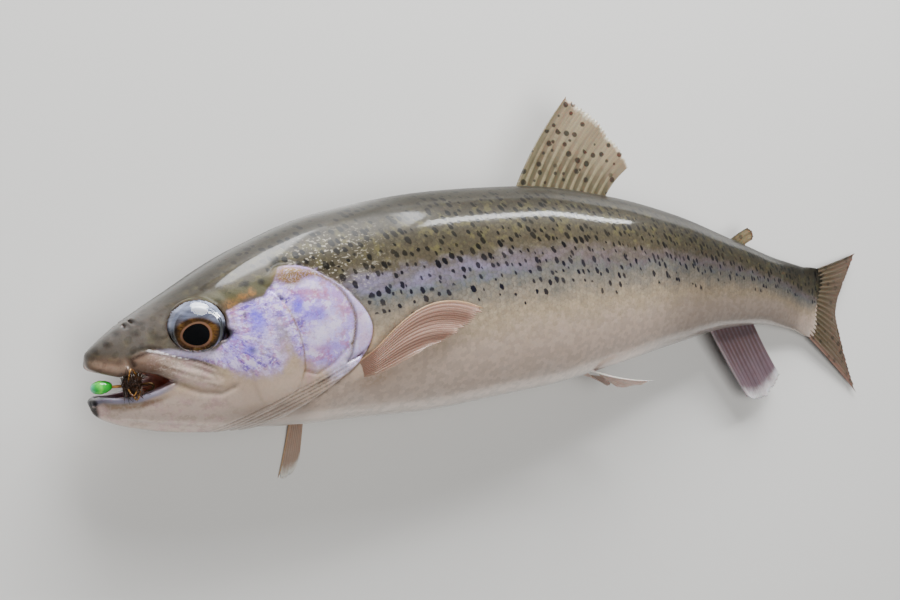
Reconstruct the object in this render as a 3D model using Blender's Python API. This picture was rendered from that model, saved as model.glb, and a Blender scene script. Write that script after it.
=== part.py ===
# Rainbow trout, life size, lying on its right side with its tail bent a little towards the belly.
#
# The fish is first modelled straight, in millimetres: s runs from the snout to the tail, y towards
# the back and z towards its left side. lay_down() then bends it, rests it on its right flank and
# turns it into metres: X towards the tail, Y towards the back, Z up.

import bpy
import bmesh
import numpy as np
from math import cos, pi, radians, sin, sqrt
from mathutils import Matrix, Vector

MM = 0.001
GAP = 0.3                  # clearance between neighbouring pieces
STALK_END = 262.0          # where the flesh ends and the tail fin begins
TAIL_CUT = 205.0           # where the trunk ends and the tail stalk begins

# The flesh at a few places along the fish: distance from the snout, height of the back,
# depth of the belly and half the width.
STATIONS = (
    (0.0, 2.6, -9.0, 1.5),
    (2.5, 5.2, -12.2, 4.4),
    (8.0, 8.5, -15.0, 7.4),
    (20.0, 14.1, -18.7, 11.4),
    (40.0, 22.4, -21.9, 14.6),
    (62.0, 27.8, -24.3, 16.0),
    (95.0, 30.0, -27.2, 16.8),
    (125.0, 29.4, -27.0, 16.4),
    (155.0, 26.0, -24.2, 14.4),
    (185.0, 21.0, -19.4, 11.2),
    (215.0, 15.0, -13.9, 7.8),
    (240.0, 11.6, -11.2, 5.4),
    (253.0, 11.3, -11.3, 4.0),
    (258.0, 12.0, -12.0, 2.6),
    (STALK_END, 12.4, -12.4, 1.0),
)
WIDEST = 0.3               # height of the widest line, as a share of back plus belly
TRUNK_SQUARENESS = 2.2     # exponent of the cross-section; 2 is an ellipse
ROOF_SQUARENESS = 0.15     # how much squarer the head's roof is
ROOF_MIDDLE, ROOF_REACH = 24.0, 20.0
NOSE_BULGE = 0.6           # how far the snout's tip stands in front of the first ring
RING_SIDES = 28
THINNEST = 0.9             # half width below which a shrunken body leaves out a ring
RING_PLACES = (
    [0.0, 0.7, 2.0, 4.0, 6.5, 9.5, 13.0]
    + [16.5 + 3.5 * step for step in range(15)]
    + [70.0 + 6.5 * step for step in range(28)]
    + [250.0, 253.0, 255.5, 258.0, 260.5, STALK_END]
)

# The pose.
TAIL_BEND = radians(19.0)  # how far the tail stalk turns towards the belly
BEND_START, BEND_POWER = 58.0, 1.6
FLAT = 0.4                 # depth of the flat on which the right flank rests
FATTEST = 95.0
FIN_START = 253.0          # from here the middle plane sinks to the floor in a straight line
FIN_SINK = 0.065           # slope of the tail fin down to the floor
FIN_LOWEST = 0.7

# The mouth, seen from the side: the open gap between the lips, and the line that parts the jaw.
MOUTH_CORNER = (16.8, -5.2)
MAXILLA_FRONT = (9.3, -1.7)
MAXILLA_MIDDLE = (13.3, -3.0)
UPPER_LIP = ((-6.0, 0.6), (0.8, -0.5), (5.4, -2.4), MAXILLA_FRONT, MAXILLA_MIDDLE)
LOWER_LIP = ((12.9, -6.5), (8.8, -7.3), (5.0, -7.0), (1.3, -6.3), (-6.0, -5.2))
JAW_REGION = ((-8.0, -5.5), (16.9, -5.3), (28.5, -8.4), (31.5, -14.0), (29.5, -34.0), (-8.0, -34.0))
MAXILLA_OUTLINE = (
    MAXILLA_FRONT, (8.0, 1.2), (12.1, 2.6), (17.9, 0.1), (22.1, -1.3), (25.6, -3.5),
    (27.6, -6.6), (26.4, -8.6), (22.5, -7.6), (17.5, -5.3), MAXILLA_MIDDLE,
)
MAXILLA_PROUD, MAXILLA_DEPTH = 0.7, 1.1
BED_TOP = 3.0              # how far the cut for a sunk piece reaches above the flesh

# The hollow of the mouth: distance from the snout, half its height and half its width.
CAVITY = ((3.5, 3.0, 3.2), (9.0, 5.0, 5.2), (18.0, 6.0, 7.6), (30.0, 5.4, 8.4), (37.0, 3.0, 6.0))
CAVITY_LEVEL, CAVITY_SIDES, CAVITY_ROUNDNESS = -5.4, 16, 0.8
TONGUE_MIDDLE, TONGUE_REACH = (18.5, -9.3, 0.0), (9.5, 1.5, 3.6)

# The head's rear edge and the gill cover, seen from the side.
HEAD_REGION = (
    (58.0, 46.0), (50.0, 24.0), (44.5, 15.8), (41.6, 14.4), (42.6, 9.6), (45.2, 3.5),
    (46.4, -3.5), (46.0, -9.0), (44.6, -12.8), (42.0, -20.0), (38.0, -42.0),
    (-12.0, -42.0), (-12.0, 46.0),
)
GILL_COVER_OUTLINE = (
    (40.0, 12.5), (45.0, 15.6), (51.5, 14.6), (58.5, 9.6), (63.6, 4.0), (65.2, -1.0),
    (62.8, -6.4), (56.0, -10.2), (47.0, -12.4), (40.0, -12.0), (38.0, 0.0),
)
GILL_COVER_THICKNESS = 2.2
OUTLINE_STEPS = 4
SIDE_START, SIDE_END = 0.5, 30.0   # how far from the middle plane a piece of one side may lie

# Eyes.
EYE_MIDDLE = (22.9, 6.4)
EYE_RADIUS, EYE_HALF_DEPTH, EYE_PROUD = 6.6, 3.4, 1.9

# Fins: the thickness at the root and at the edge.
FIN_ROOT, FIN_EDGE = 1.1, 0.55
FIN_BURY = 2.0             # how deep a fin's root starts under the skin, before it is trimmed

# Fins of the middle line: where the root starts and ends, the tips of the first and the last ray,
# how far the rays lean, how many there are and how far the edge bulges.
MEDIAN_FINS = {
    "dorsal_fin": (123.0, 156.0, (143.0, 54.0), (167.0, 34.5), 3.0, 11, (1.0, 2.0, 0.0)),
    "adipose_fin": (212.0, 219.5, (222.5, 19.8), (225.5, 16.2), 1.2, 6, (1.2, 0.6, 0.0)),
    "anal_fin": (205.0, 228.0, (229.0, -36.0), (247.0, -27.0), 2.0, 10, (2.5, -3.5, 0.0)),
}
TAIL_RAYS, TAIL_NOTCH = 15, 13.5
UPPER_BOW, UPPER_TIP = (8.0, 3.5), (282.0, 22.5)     # bows are measured from the corners of the root
LOWER_BOW, LOWER_TIP = (10.0, -4.0), (297.0, -26.0)

# The left pectoral fin lies back along the flank: its root and the two bows and the tip of its
# first and of its last ray.
PECTORAL_FRONT = ((58.2, -10.2), (68.0, -4.5), (78.0, 9.5), (96.0, -0.9))
PECTORAL_REAR = ((59.9, -12.7), (66.0, -12.6), (73.0, -9.6), (79.0, -7.6))
PECTORAL_RAYS, PECTORAL_BULGE = 10, (1.0, -0.8)
PECTORAL_CLEAR, PECTORAL_LIFT = 1.5, 1.6   # how far it stands off the flank
PECTORAL_RISE = 0.22       # share of a ray's length in which it rises clear of the flank

# The right one hangs down under the throat, flat on the floor: bow and tip of its outer rays.
HANGING_FRONT, HANGING_REAR = ((56.5, -24.0), (50.2, -39.0)), ((60.0, -25.0), (56.8, -36.0))
HANGING_BULGE, HANGING_RAYS, HANGING_PLACE = (0.0, -1.5, 0.0), 7, 50.0

# Pelvic fins: place and angle of the root's two ends, then how far each tip and bow lie from it.
PELVIC_FRONT, PELVIC_REAR = (141.0, radians(162.0)), (145.5, radians(170.0))
PELVIC_FRONT_TIP, PELVIC_REAR_TIP = (25.5, -5.5, 5.5), (12.5, -7.5, -0.5)
PELVIC_FRONT_BOW, PELVIC_REAR_BOW = (-1.5, -2.5, 2.0), (0.0, -0.8, 0.0)
PELVIC_BULGE, PELVIC_RAYS = (1.5, -0.5, 0.0), 7

# The fly caught in the mouth: a bead, a dressed body and a hook.
BEAD_MIDDLE, BEAD_REACH = (1.9, -4.15, 2.6), (2.4, 1.55, 1.55)
FLY_MIDDLE, FLY_REACH = (7.9, -4.6, 6.2), (2.4, 2.1, 2.0)
FLY_TURN = radians(-24.0)
HOOK_WIRE, HOOK_STEPS = 0.35, 10
HOOK_BEND, HOOK_SHANK, HOOK_FLATNESS = 1.1, 0.8, 0.7

COLOURS = {
    "head": (0.30, 0.29, 0.24), "jaw": (0.52, 0.42, 0.35), "cheek": (0.55, 0.50, 0.58),
    "trunk": (0.36, 0.35, 0.24), "stalk": (0.42, 0.40, 0.30), "fin": (0.38, 0.30, 0.24),
    "mouth": (0.42, 0.20, 0.17), "eye": (0.05, 0.04, 0.03), "bead": (0.05, 0.60, 0.12),
    "fly": (0.07, 0.04, 0.02), "hook": (0.35, 0.30, 0.22),
}


def curve(places, values):
    """A smooth curve through the stations that never overshoots; its foot is blunt."""
    t = np.sqrt(np.array(places, float))
    v = np.array(values, float)
    step = np.diff(t)
    rise = np.diff(v) / step
    slope = np.zeros(len(t))
    slope[0], slope[-1] = rise[0], rise[-1]
    for i in range(1, len(t) - 1):
        if rise[i - 1] * rise[i] > 0:
            before, after = 2 * step[i] + step[i - 1], step[i] + 2 * step[i - 1]
            slope[i] = (before + after) / (before / rise[i - 1] + after / rise[i])

    def value(s):
        x = sqrt(min(max(s, places[0]), places[-1]))
        i = min(int(np.searchsorted(t, x, side="right")) - 1, len(step) - 1)
        u = (x - t[i]) / step[i]
        keep, turn = u * u * (3 - 2 * u), u * (1 - u)
        bend = step[i] * turn * ((1 - u) * slope[i] - u * slope[i + 1])
        return float(v[i] + (v[i + 1] - v[i]) * keep + bend)

    return value


station_places = [station[0] for station in STATIONS]
back = curve(station_places, [station[1] for station in STATIONS])
belly = curve(station_places, [station[2] for station in STATIONS])
half_width = curve(station_places, [station[3] for station in STATIONS])


def power(value, exponent):
    return (1 if value >= 0 else -1) * abs(value) ** exponent


def squareness(s, above):
    if not above:
        return TRUNK_SQUARENESS
    away = (s - ROOF_MIDDLE) / ROOF_REACH
    return TRUNK_SQUARENESS + ROOF_SQUARENESS * max(0.0, 1 - away * away)


def widest_line(s):
    return WIDEST * (back(s) + belly(s))


def flesh_point(s, angle, grow=0.0):
    """A point of the flesh: angle 0 is the back, a quarter turn is the left flank."""
    above = cos(angle) >= 0
    exponent = 2 / squareness(s, above)
    level = widest_line(s)
    reach = (back(s) - level if above else level - belly(s)) + grow
    y = level + reach * power(cos(angle), exponent)
    z = (half_width(s) + grow) * power(sin(angle), exponent)
    return (s, y, z)


def flank(s, y):
    """Half the width of the flesh at height y."""
    above = y >= widest_line(s)
    exponent = squareness(s, above)
    level = widest_line(s)
    reach = back(s) - level if above else level - belly(s)
    share = min(abs(y - level) / reach, 0.999)
    return half_width(s) * (1 - share ** exponent) ** (1 / exponent)


def flank_normal(s, y):
    """The direction straight out of the left flank at (s, y)."""
    small = 0.5
    along = Vector((2 * small, 0, flank(s + small, y) - flank(s - small, y)))
    upward = Vector((0, 2 * small, flank(s, y + small) - flank(s, y - small)))
    return along.cross(upward).normalized()


# ---- shapes, as meshes in the straight fish's millimetres ----

def new_object(points, faces, name="shape"):
    mesh = bpy.data.meshes.new(name)
    mesh.from_pydata([tuple(point) for point in points], [], faces)
    shape = bmesh.new()
    shape.from_mesh(mesh)
    bmesh.ops.recalc_face_normals(shape, faces=shape.faces)
    shape.to_mesh(mesh)
    shape.free()
    made = bpy.data.objects.new(name, mesh)
    bpy.context.scene.collection.objects.link(made)
    return made


def flesh(grow=0.0):
    """The whole body from snout to tail, swollen by grow."""
    points, faces = [], []
    places = [s for s in RING_PLACES if half_width(s) + grow > THINNEST]
    spread = max(grow, 0.0)
    angles = [2 * pi * k / RING_SIDES for k in range(RING_SIDES)]
    for s in places:
        shift = {places[0]: -spread, places[-1]: spread}.get(s, 0.0)
        points += [(x + shift, y, z) for x, y, z in (flesh_point(s, angle, grow) for angle in angles)]
    for row in range(len(places) - 1):
        for k in range(RING_SIDES):
            a, b = row * RING_SIDES + k, row * RING_SIDES + (k + 1) % RING_SIDES
            faces.append((a, b, b + RING_SIDES, a + RING_SIDES))
    tip = len(points)
    points.append((places[0] - NOSE_BULGE - spread, widest_line(places[0]) - 1.0, 0.0))
    for k in range(RING_SIDES):
        faces.append((tip, (k + 1) % RING_SIDES, k))
    faces.append(tuple(range(tip - RING_SIDES, tip)))
    return new_object(points, faces, "flesh")


def grown(outline, distance):
    """An outline moved outwards by distance."""
    ring = np.array(outline, float)
    before, after = np.roll(ring, 1, axis=0), np.roll(ring, -1, axis=0)
    area = np.sum(ring[:, 0] * after[:, 1] - after[:, 0] * ring[:, 1])
    turn = 1.0 if area > 0 else -1.0

    def outward(edge):
        edge = edge / np.linalg.norm(edge, axis=1)[:, None]
        return turn * np.stack([edge[:, 1], -edge[:, 0]], axis=1)

    first, second = outward(ring - before), outward(after - ring)
    middle = first + second
    middle /= np.linalg.norm(middle, axis=1)[:, None]
    reach = distance / np.maximum(np.sum(middle * first, axis=1), 0.5)
    return [tuple(point) for point in ring + middle * reach[:, None]]


def rounded(outline, steps=OUTLINE_STEPS):
    """A smooth closed outline through the given corners."""
    corners = [Vector(corner) for corner in outline]
    count = len(corners)
    made = []
    for i in range(count):
        a, b, c, d = (corners[(i + k - 1) % count] for k in range(4))
        for step in range(steps):
            t = step / steps
            made.append(tuple(0.5 * (2 * b + (c - a) * t + (2 * a - 5 * b + 4 * c - d) * t ** 2
                                     + (3 * b - a - 3 * c + d) * t ** 3)))
    return made


def prism(outline, low=-SIDE_END, high=SIDE_END):
    """A side-view outline pushed through the fish from z = low to z = high."""
    count = len(outline)
    points = [(s, y, low) for s, y in outline] + [(s, y, high) for s, y in outline]
    faces = [tuple(range(count)), tuple(range(2 * count - 1, count - 1, -1))]
    for k in range(count):
        after = (k + 1) % count
        faces.append((k, count + k, count + after, after))
    return new_object(points, faces, "prism")


def ellipsoid(middle, reach, turn=None, across=10, around=20):
    shape = bmesh.new()
    bmesh.ops.create_uvsphere(shape, u_segments=around, v_segments=across, radius=1.0)
    place = Matrix.Translation(middle) @ (turn or Matrix.Identity(4)) @ Matrix.Diagonal((*reach, 1.0))
    bmesh.ops.transform(shape, matrix=place, verts=shape.verts)
    mesh = bpy.data.meshes.new("ellipsoid")
    shape.to_mesh(mesh)
    shape.free()
    made = bpy.data.objects.new("ellipsoid", mesh)
    bpy.context.scene.collection.objects.link(made)
    return made


def discard(shape):
    bpy.data.objects.remove(shape, do_unlink=True)


def combine(shape, tool, operation):
    """Cut, keep or join with another shape, which is used up."""
    modifier = shape.modifiers.new("combine", "BOOLEAN")
    modifier.operation = operation
    modifier.solver = "EXACT"
    modifier.object = tool
    ready = bpy.context.evaluated_depsgraph_get()
    mesh = bpy.data.meshes.new_from_object(shape.evaluated_get(ready))
    shape.modifiers.clear()
    shape.data = mesh
    discard(tool)
    return shape


def minus(shape, tool):
    return combine(shape, tool, "DIFFERENCE")


def within(shape, tool):
    return combine(shape, tool, "INTERSECT")


def slab(outline, side, outer, inner):
    """The layer of flesh under an outline, on one side, from outer down to inner."""
    low, high = (SIDE_START, SIDE_END) if side > 0 else (-SIDE_END, -SIDE_START)
    return minus(within(prism(outline, low, high), flesh(outer)), flesh(inner))


# ---- the pose ----

def bend_table():
    """The middle line of the bent fish: its place and direction at every half millimetre."""
    s = np.arange(-10.0, 320.0, 0.5)
    along = np.clip((s - BEND_START) / (STALK_END - BEND_START), 0, None)
    share = np.where(along < 1, along ** BEND_POWER, 1 + BEND_POWER * (along - 1))
    angle = TAIL_BEND * share
    step = np.stack([np.cos(angle), -np.sin(angle)], axis=1) * 0.5
    line = np.cumsum((step + np.roll(step, 1, axis=0)) / 2, axis=0)
    line -= line[np.argmin(np.abs(s))]
    return s, line, angle


BEND_S, BEND_LINE, BEND_ANGLE = bend_table()


def middle_height(s):
    """How high the middle plane lies above the floor, with the right flank resting on it."""
    resting = half_width(min(max(s, FATTEST), FIN_START)) - FLAT
    return max(resting - FIN_SINK * max(s - FIN_START, 0.0), FIN_LOWEST)


def lie(point):
    s, y, z = point
    x0, y0 = np.interp(s, BEND_S, BEND_LINE[:, 0]), np.interp(s, BEND_S, BEND_LINE[:, 1])
    angle = np.interp(s, BEND_S, BEND_ANGLE)
    height = max(z + middle_height(s), 0.0)
    return Vector((x0 + sin(angle) * y, y0 + cos(angle) * y, height)) * MM


def lay_down(shape, name, colour, smooth=True):
    """Turn a straight piece into the finished node: triangles, posed, in metres."""
    mesh = bmesh.new()
    mesh.from_mesh(shape.data)
    bmesh.ops.remove_doubles(mesh, verts=mesh.verts, dist=0.002)
    bmesh.ops.dissolve_degenerate(mesh, edges=mesh.edges, dist=0.002)
    bmesh.ops.triangulate(mesh, faces=mesh.faces)
    for vert in mesh.verts:
        vert.co = lie(vert.co)
    bmesh.ops.recalc_face_normals(mesh, faces=mesh.faces)
    made = bpy.data.meshes.new(name)
    mesh.to_mesh(made)
    mesh.free()
    if smooth:
        made.shade_smooth()
        made.set_sharp_from_angle(angle=radians(40))
    node = bpy.data.objects.new(name, made)
    node.data.materials.append(paint(name, colour))
    bpy.context.scene.collection.objects.link(node)
    discard(shape)
    return node


def paint(name, colour):
    material = bpy.data.materials.new(name + "_finish")
    material.use_nodes = True
    shader = material.node_tree.nodes["Principled BSDF"]
    shader.inputs["Base Color"].default_value = (*COLOURS[colour], 1.0)
    shader.inputs["Roughness"].default_value = 0.15 if colour in ("eye", "bead") else 0.4
    shader.inputs["Metallic"].default_value = 1.0 if colour == "hook" else 0.0
    return material


# ---- fins ----

def fin(rays, points_along=6):
    """A thin closed fin from its rays; each ray is a function from 0 at the root to 1 at the edge."""
    last_row, last = len(rays) - 1, points_along - 1
    middle = [[Vector(ray(j / last)) for j in range(points_along)] for ray in rays]
    points, faces = [], []
    for side in (1, -1):
        for row in range(last_row + 1):
            for j in range(points_along):
                across = middle[min(row + 1, last_row)][j] - middle[max(row - 1, 0)][j]
                along = middle[row][min(j + 1, last)] - middle[row][max(j - 1, 0)]
                half = (FIN_ROOT + (FIN_EDGE - FIN_ROOT) * min(1.0, 2 * j / last)) / 2
                points.append(middle[row][j] + across.cross(along).normalized() * (side * half))
    rows = len(rays)
    sheet = rows * points_along

    def at(side, row, j):
        return side * sheet + row * points_along + j

    for row in range(rows - 1):
        for j in range(points_along - 1):
            square = [at(0, row, j), at(0, row + 1, j), at(0, row + 1, j + 1), at(0, row, j + 1)]
            faces.append(tuple(square))
            faces.append(tuple(index + sheet for index in reversed(square)))
    edge = [(row, 0) for row in range(rows)]
    edge += [(rows - 1, j) for j in range(1, points_along)]
    edge += [(row, points_along - 1) for row in range(rows - 2, -1, -1)]
    edge += [(0, j) for j in range(points_along - 2, 0, -1)]
    for (row, j), (next_row, next_j) in zip(edge, edge[1:] + edge[:1]):
        faces.append((at(0, row, j), at(1, row, j), at(1, next_row, next_j), at(0, next_row, next_j)))
    return new_object(points, faces, "fin")


def bowed_ray(root, bow, tip):
    """A ray from root to tip that leans towards bow on its way."""
    root, bow, tip = Vector(root), Vector(bow), Vector(tip)
    return lambda v: root * (1 - v) ** 2 + bow * (2 * v * (1 - v)) + tip * v ** 2


def fan(front, rear, count, bulge=(0.0, 0.0, 0.0), notch=0.0):
    """Rays spread evenly between a front and a rear ray, given as (root, bow, tip)."""
    rays = []
    for k in range(count):
        u = k / (count - 1)
        root, bow, tip = (Vector(a).lerp(Vector(b), u) for a, b in zip(front, rear))
        swell = 4 * u * (1 - u)
        tip += Vector(bulge) * swell
        tip.x -= notch * (1 - abs(2 * u - 1) ** 1.4)
        bow += Vector(bulge) * swell * 0.5
        rays.append(bowed_ray(root, bow, tip))
    return rays


def median_fin(front_place, rear_place, front_tip, rear_tip, lean, count, bulge=(0.0, 0.0, 0.0)):
    """A fin on the middle line of the back or the belly."""
    edge = back if front_tip[1] > 0 else belly
    inward = -FIN_BURY if front_tip[1] > 0 else FIN_BURY

    def corner(place, tip):
        root = Vector((place, edge(place) + inward, 0.0))
        end = Vector((*tip, 0.0))
        bow = root.lerp(end, 0.5) + Vector((-lean, 0.0, 0.0))
        return root, bow, end

    rays = fan(corner(front_place, front_tip), corner(rear_place, rear_tip), count, bulge)
    return minus(fin(rays), flesh(GAP))


def build_median_fins():
    for name, values in MEDIAN_FINS.items():
        lay_down(median_fin(*values), name, "fin")


def build_tail_fin():
    top = Vector((STALK_END + GAP, back(STALK_END), 0.0))
    bottom = Vector((STALK_END + GAP, belly(STALK_END), 0.0))
    upper = (top, top + Vector((*UPPER_BOW, 0.0)), Vector((*UPPER_TIP, 0.0)))
    lower = (bottom, bottom + Vector((*LOWER_BOW, 0.0)), Vector((*LOWER_TIP, 0.0)))
    lay_down(fin(fan(upper, lower, TAIL_RAYS, notch=TAIL_NOTCH), 7), "caudal_fin", "fin")


def flank_ray(root, first_bow, second_bow, tip):
    """A ray that starts under the left flank, rises clear of it and follows it back."""
    def ray(v):
        w = 1 - v
        s, y = (root[k] * w ** 3 + 3 * v * w * (first_bow[k] * w + second_bow[k] * v) + tip[k] * v ** 3
                for k in (0, 1))
        sunk = (FIN_BURY + PECTORAL_CLEAR) * max(0.0, 1 - v / PECTORAL_RISE)
        return (s, y, flank(s, y) + PECTORAL_CLEAR - sunk + PECTORAL_LIFT * v * v)

    return ray


def build_pectoral_fins():
    rays = []
    for k in range(PECTORAL_RAYS):
        u = k / (PECTORAL_RAYS - 1)
        corners = [Vector(a).lerp(Vector(b), u) for a, b in zip(PECTORAL_FRONT, PECTORAL_REAR)]
        corners[-1] += Vector(PECTORAL_BULGE) * 4 * u * (1 - u)
        rays.append(flank_ray(*corners))
    lay_down(minus(fin(rays, 9), flesh(GAP)), "pectoral_fin_left", "fin")

    rest = FIN_EDGE / 2 - middle_height(HANGING_PLACE)
    edges = []
    for root, way in ((PECTORAL_FRONT[0], HANGING_FRONT), (PECTORAL_REAR[0], HANGING_REAR)):
        start = (*root, FIN_BURY - flank(*root))
        edges.append((start, *((*place, rest) for place in way)))
    rays = fan(*edges, HANGING_RAYS, HANGING_BULGE)
    lay_down(minus(fin(rays, 8), flesh(GAP)), "pectoral_fin_right", "fin")


def build_pelvic_fins():
    ends = (
        (PELVIC_FRONT, PELVIC_FRONT_BOW, PELVIC_FRONT_TIP),
        (PELVIC_REAR, PELVIC_REAR_BOW, PELVIC_REAR_TIP),
    )
    for name, side in (("pelvic_fin_left", 1), ("pelvic_fin_right", -1)):
        mirrored = Matrix.Diagonal((1, 1, side))
        edges = []
        for (place, angle), bow, tip in ends:
            root = Vector(flesh_point(place, side * angle, -FIN_BURY))
            end = root + mirrored @ Vector(tip)
            edges.append((root, root.lerp(end, 0.5) + mirrored @ Vector(bow), end))
        rays = fan(*edges, PELVIC_RAYS, PELVIC_BULGE)
        lay_down(minus(fin(rays), flesh(GAP)), name, "fin")


# ---- the head ----

def mouth_gap():
    return prism(UPPER_LIP + (MOUTH_CORNER,) + LOWER_LIP)


def mouth_cavity():
    """The hollow inside the mouth, closed at both ends."""
    points, faces = [], []
    sides = CAVITY_SIDES
    for s, half_height, half_across in CAVITY:
        for k in range(sides):
            angle = 2 * pi * k / sides
            y = CAVITY_LEVEL + half_height * power(cos(angle), CAVITY_ROUNDNESS)
            points.append((s, y, half_across * power(sin(angle), CAVITY_ROUNDNESS)))
    for row in range(len(CAVITY) - 1):
        for k in range(sides):
            a, b = row * sides + k, row * sides + (k + 1) % sides
            faces.append((a, b, b + sides, a + sides))
    faces.append(tuple(range(sides)))
    faces.append(tuple(range(len(points) - sides, len(points))))
    return new_object(points, faces, "cavity")


def eye_shape(side, grow=0.0):
    s, y = EYE_MIDDLE
    outward = flank_normal(s, y)
    centre = Vector((s, y, flank(s, y))) + outward * (EYE_PROUD - EYE_HALF_DEPTH)
    if side < 0:
        centre.z, outward.z = -centre.z, -outward.z
    turn = outward.to_track_quat("Z", "Y").to_matrix().to_4x4()
    reach = (EYE_RADIUS + grow, EYE_RADIUS + grow, EYE_HALF_DEPTH + grow)
    return ellipsoid(centre, reach, turn)


def without_face_pieces(shape):
    """Cut the mouth, and the beds of both eyes and both upper jaw bones, out of a head piece."""
    shape = minus(minus(shape, mouth_gap()), mouth_cavity())
    bed = grown(MAXILLA_OUTLINE, GAP)
    for side in (1, -1):
        shape = minus(shape, slab(bed, side, BED_TOP, -MAXILLA_DEPTH - GAP))
        shape = minus(shape, eye_shape(side, GAP))
    return shape


def build_head():
    head = minus(within(flesh(), prism(HEAD_REGION)), prism(grown(JAW_REGION, GAP)))
    lay_down(without_face_pieces(head), "head", "head")
    jaw = within(flesh(), prism(JAW_REGION))
    lay_down(without_face_pieces(jaw), "lower_jaw", "jaw")
    tongue = ellipsoid(TONGUE_MIDDLE, TONGUE_REACH, None, 8, 14)
    lay_down(tongue, "tongue", "mouth")
    for name, side in (("left", 1), ("right", -1)):
        lay_down(eye_shape(side), "eye_" + name, "eye")
        bone = slab(MAXILLA_OUTLINE, side, MAXILLA_PROUD, -MAXILLA_DEPTH)
        lay_down(bone, "maxilla_" + name, "jaw")
        cover = slab(rounded(GILL_COVER_OUTLINE), side, 0.0, -GILL_COVER_THICKNESS)
        lay_down(minus(cover, prism(grown(HEAD_REGION, GAP))), "gill_cover_" + name, "cheek")


def build_trunk():
    trunk = within(flesh(), prism(((-20, -60), (TAIL_CUT, -60), (TAIL_CUT, 60), (-20, 60))))
    trunk = minus(trunk, prism(grown(HEAD_REGION, GAP)))
    bed = grown(rounded(GILL_COVER_OUTLINE), GAP)
    for side in (1, -1):
        trunk = minus(trunk, slab(bed, side, BED_TOP, -GILL_COVER_THICKNESS - GAP))
    lay_down(trunk, "trunk", "trunk")
    start = TAIL_CUT + GAP
    stalk = within(flesh(), prism(((start, -60), (320, -60), (320, 60), (start, 60))))
    lay_down(stalk, "tail_stalk", "stalk")


# ---- the fly ----

def build_fly():
    turn = Matrix.Rotation(FLY_TURN, 4, "Y")
    lay_down(ellipsoid(BEAD_MIDDLE, BEAD_REACH, turn, 8, 14), "fly_bead", "bead")
    lay_down(ellipsoid(FLY_MIDDLE, FLY_REACH, turn, 8, 12), "fly_body", "fly")
    along = turn.to_3x3() @ Vector((1.0, 0.0, 0.0))
    start = Vector(FLY_MIDDLE) + along * (FLY_REACH[0] + GAP)
    path = [start]
    for k in range(HOOK_STEPS + 1):
        angle = pi * k / HOOK_STEPS
        down = Vector((0.0, -HOOK_BEND * HOOK_FLATNESS * (1 - cos(angle)), 0.0))
        path.append(start + along * (HOOK_SHANK + HOOK_BEND * sin(angle)) + down)
    path.append(path[-1] - along * HOOK_SHANK)
    lay_down(wire(path, HOOK_WIRE), "fly_hook", "hook")


def wire(path, radius, sides=8):
    """A round wire with flat ends."""
    points, faces = [], []
    for i, place in enumerate(path):
        ahead = (path[min(i + 1, len(path) - 1)] - path[max(i - 1, 0)]).normalized()
        across = ahead.cross(Vector((0, 0, 1))).normalized()
        up = across.cross(ahead)
        for k in range(sides):
            angle = 2 * pi * k / sides
            points.append(place + (across * cos(angle) + up * sin(angle)) * radius)
    for row in range(len(path) - 1):
        for k in range(sides):
            a, b = row * sides + k, row * sides + (k + 1) % sides
            faces.append((a, b, b + sides, a + sides))
    faces.append(tuple(range(sides)))
    faces.append(tuple(range(len(points) - sides, len(points))))
    return new_object(points, faces, "wire")


def centre_on_floor():
    """Put the origin under the middle of the whole fish."""
    corners = np.array([vert.co for node in bpy.data.objects for vert in node.data.vertices])
    low, high = corners.min(axis=0), corners.max(axis=0)
    shift = Vector((-(low[0] + high[0]) / 2, -(low[1] + high[1]) / 2, -low[2]))
    for node in bpy.data.objects:
        node.data.transform(Matrix.Translation(shift))


for old in list(bpy.data.objects):
    bpy.data.objects.remove(old, do_unlink=True)
build_head()
build_trunk()
build_median_fins()
build_tail_fin()
build_pectoral_fins()
build_pelvic_fins()
build_fly()
centre_on_floor()
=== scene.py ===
# Rainbow trout, life size: the wet skin, its scales, the fins, the eyes, the tongue and a little fly.
# Shapes are made on the straight fish, in millimetres: s from the snout to the tail, y towards
# the back, z towards the left side. lie() bends them, lays them down and turns them into metres.

import bpy
import bmesh
import numpy as np
from math import cos, pi, radians, sin
from mathutils import Matrix, Vector


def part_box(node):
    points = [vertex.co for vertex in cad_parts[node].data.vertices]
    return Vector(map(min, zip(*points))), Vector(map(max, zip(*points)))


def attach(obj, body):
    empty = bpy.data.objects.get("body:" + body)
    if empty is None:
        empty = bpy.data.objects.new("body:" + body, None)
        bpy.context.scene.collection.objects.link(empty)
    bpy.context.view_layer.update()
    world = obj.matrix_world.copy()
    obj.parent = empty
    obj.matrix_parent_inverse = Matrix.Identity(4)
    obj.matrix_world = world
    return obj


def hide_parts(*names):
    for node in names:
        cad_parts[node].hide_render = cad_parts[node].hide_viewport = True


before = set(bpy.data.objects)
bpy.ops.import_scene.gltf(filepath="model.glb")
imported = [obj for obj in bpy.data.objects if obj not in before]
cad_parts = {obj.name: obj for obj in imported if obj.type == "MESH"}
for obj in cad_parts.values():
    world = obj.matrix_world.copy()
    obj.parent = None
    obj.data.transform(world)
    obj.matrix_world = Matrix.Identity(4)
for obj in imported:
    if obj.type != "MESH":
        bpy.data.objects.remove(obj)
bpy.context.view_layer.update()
mm = 0.001


def boxCentre(name):
    low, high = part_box(name)
    return (np.array(low) + np.array(high)) / 2 / mm


# ---- where the straight fish lies in the frame ----
pose = {
    "tailBend": radians(19.0), "bendStart": 58.0, "bendPower": 1.6, "stalkEnd": 262.0,
    "flat": 0.4, "fattest": 95.0, "finStart": 253.0, "finSink": 0.065, "finLowest": 0.7,
    "floorSoftness": 0.3, "tongueMiddle": (18.5, -9.3, 16.4),
}
worldOffset = boxCentre("tongue") - np.array(pose["tongueMiddle"])

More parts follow.
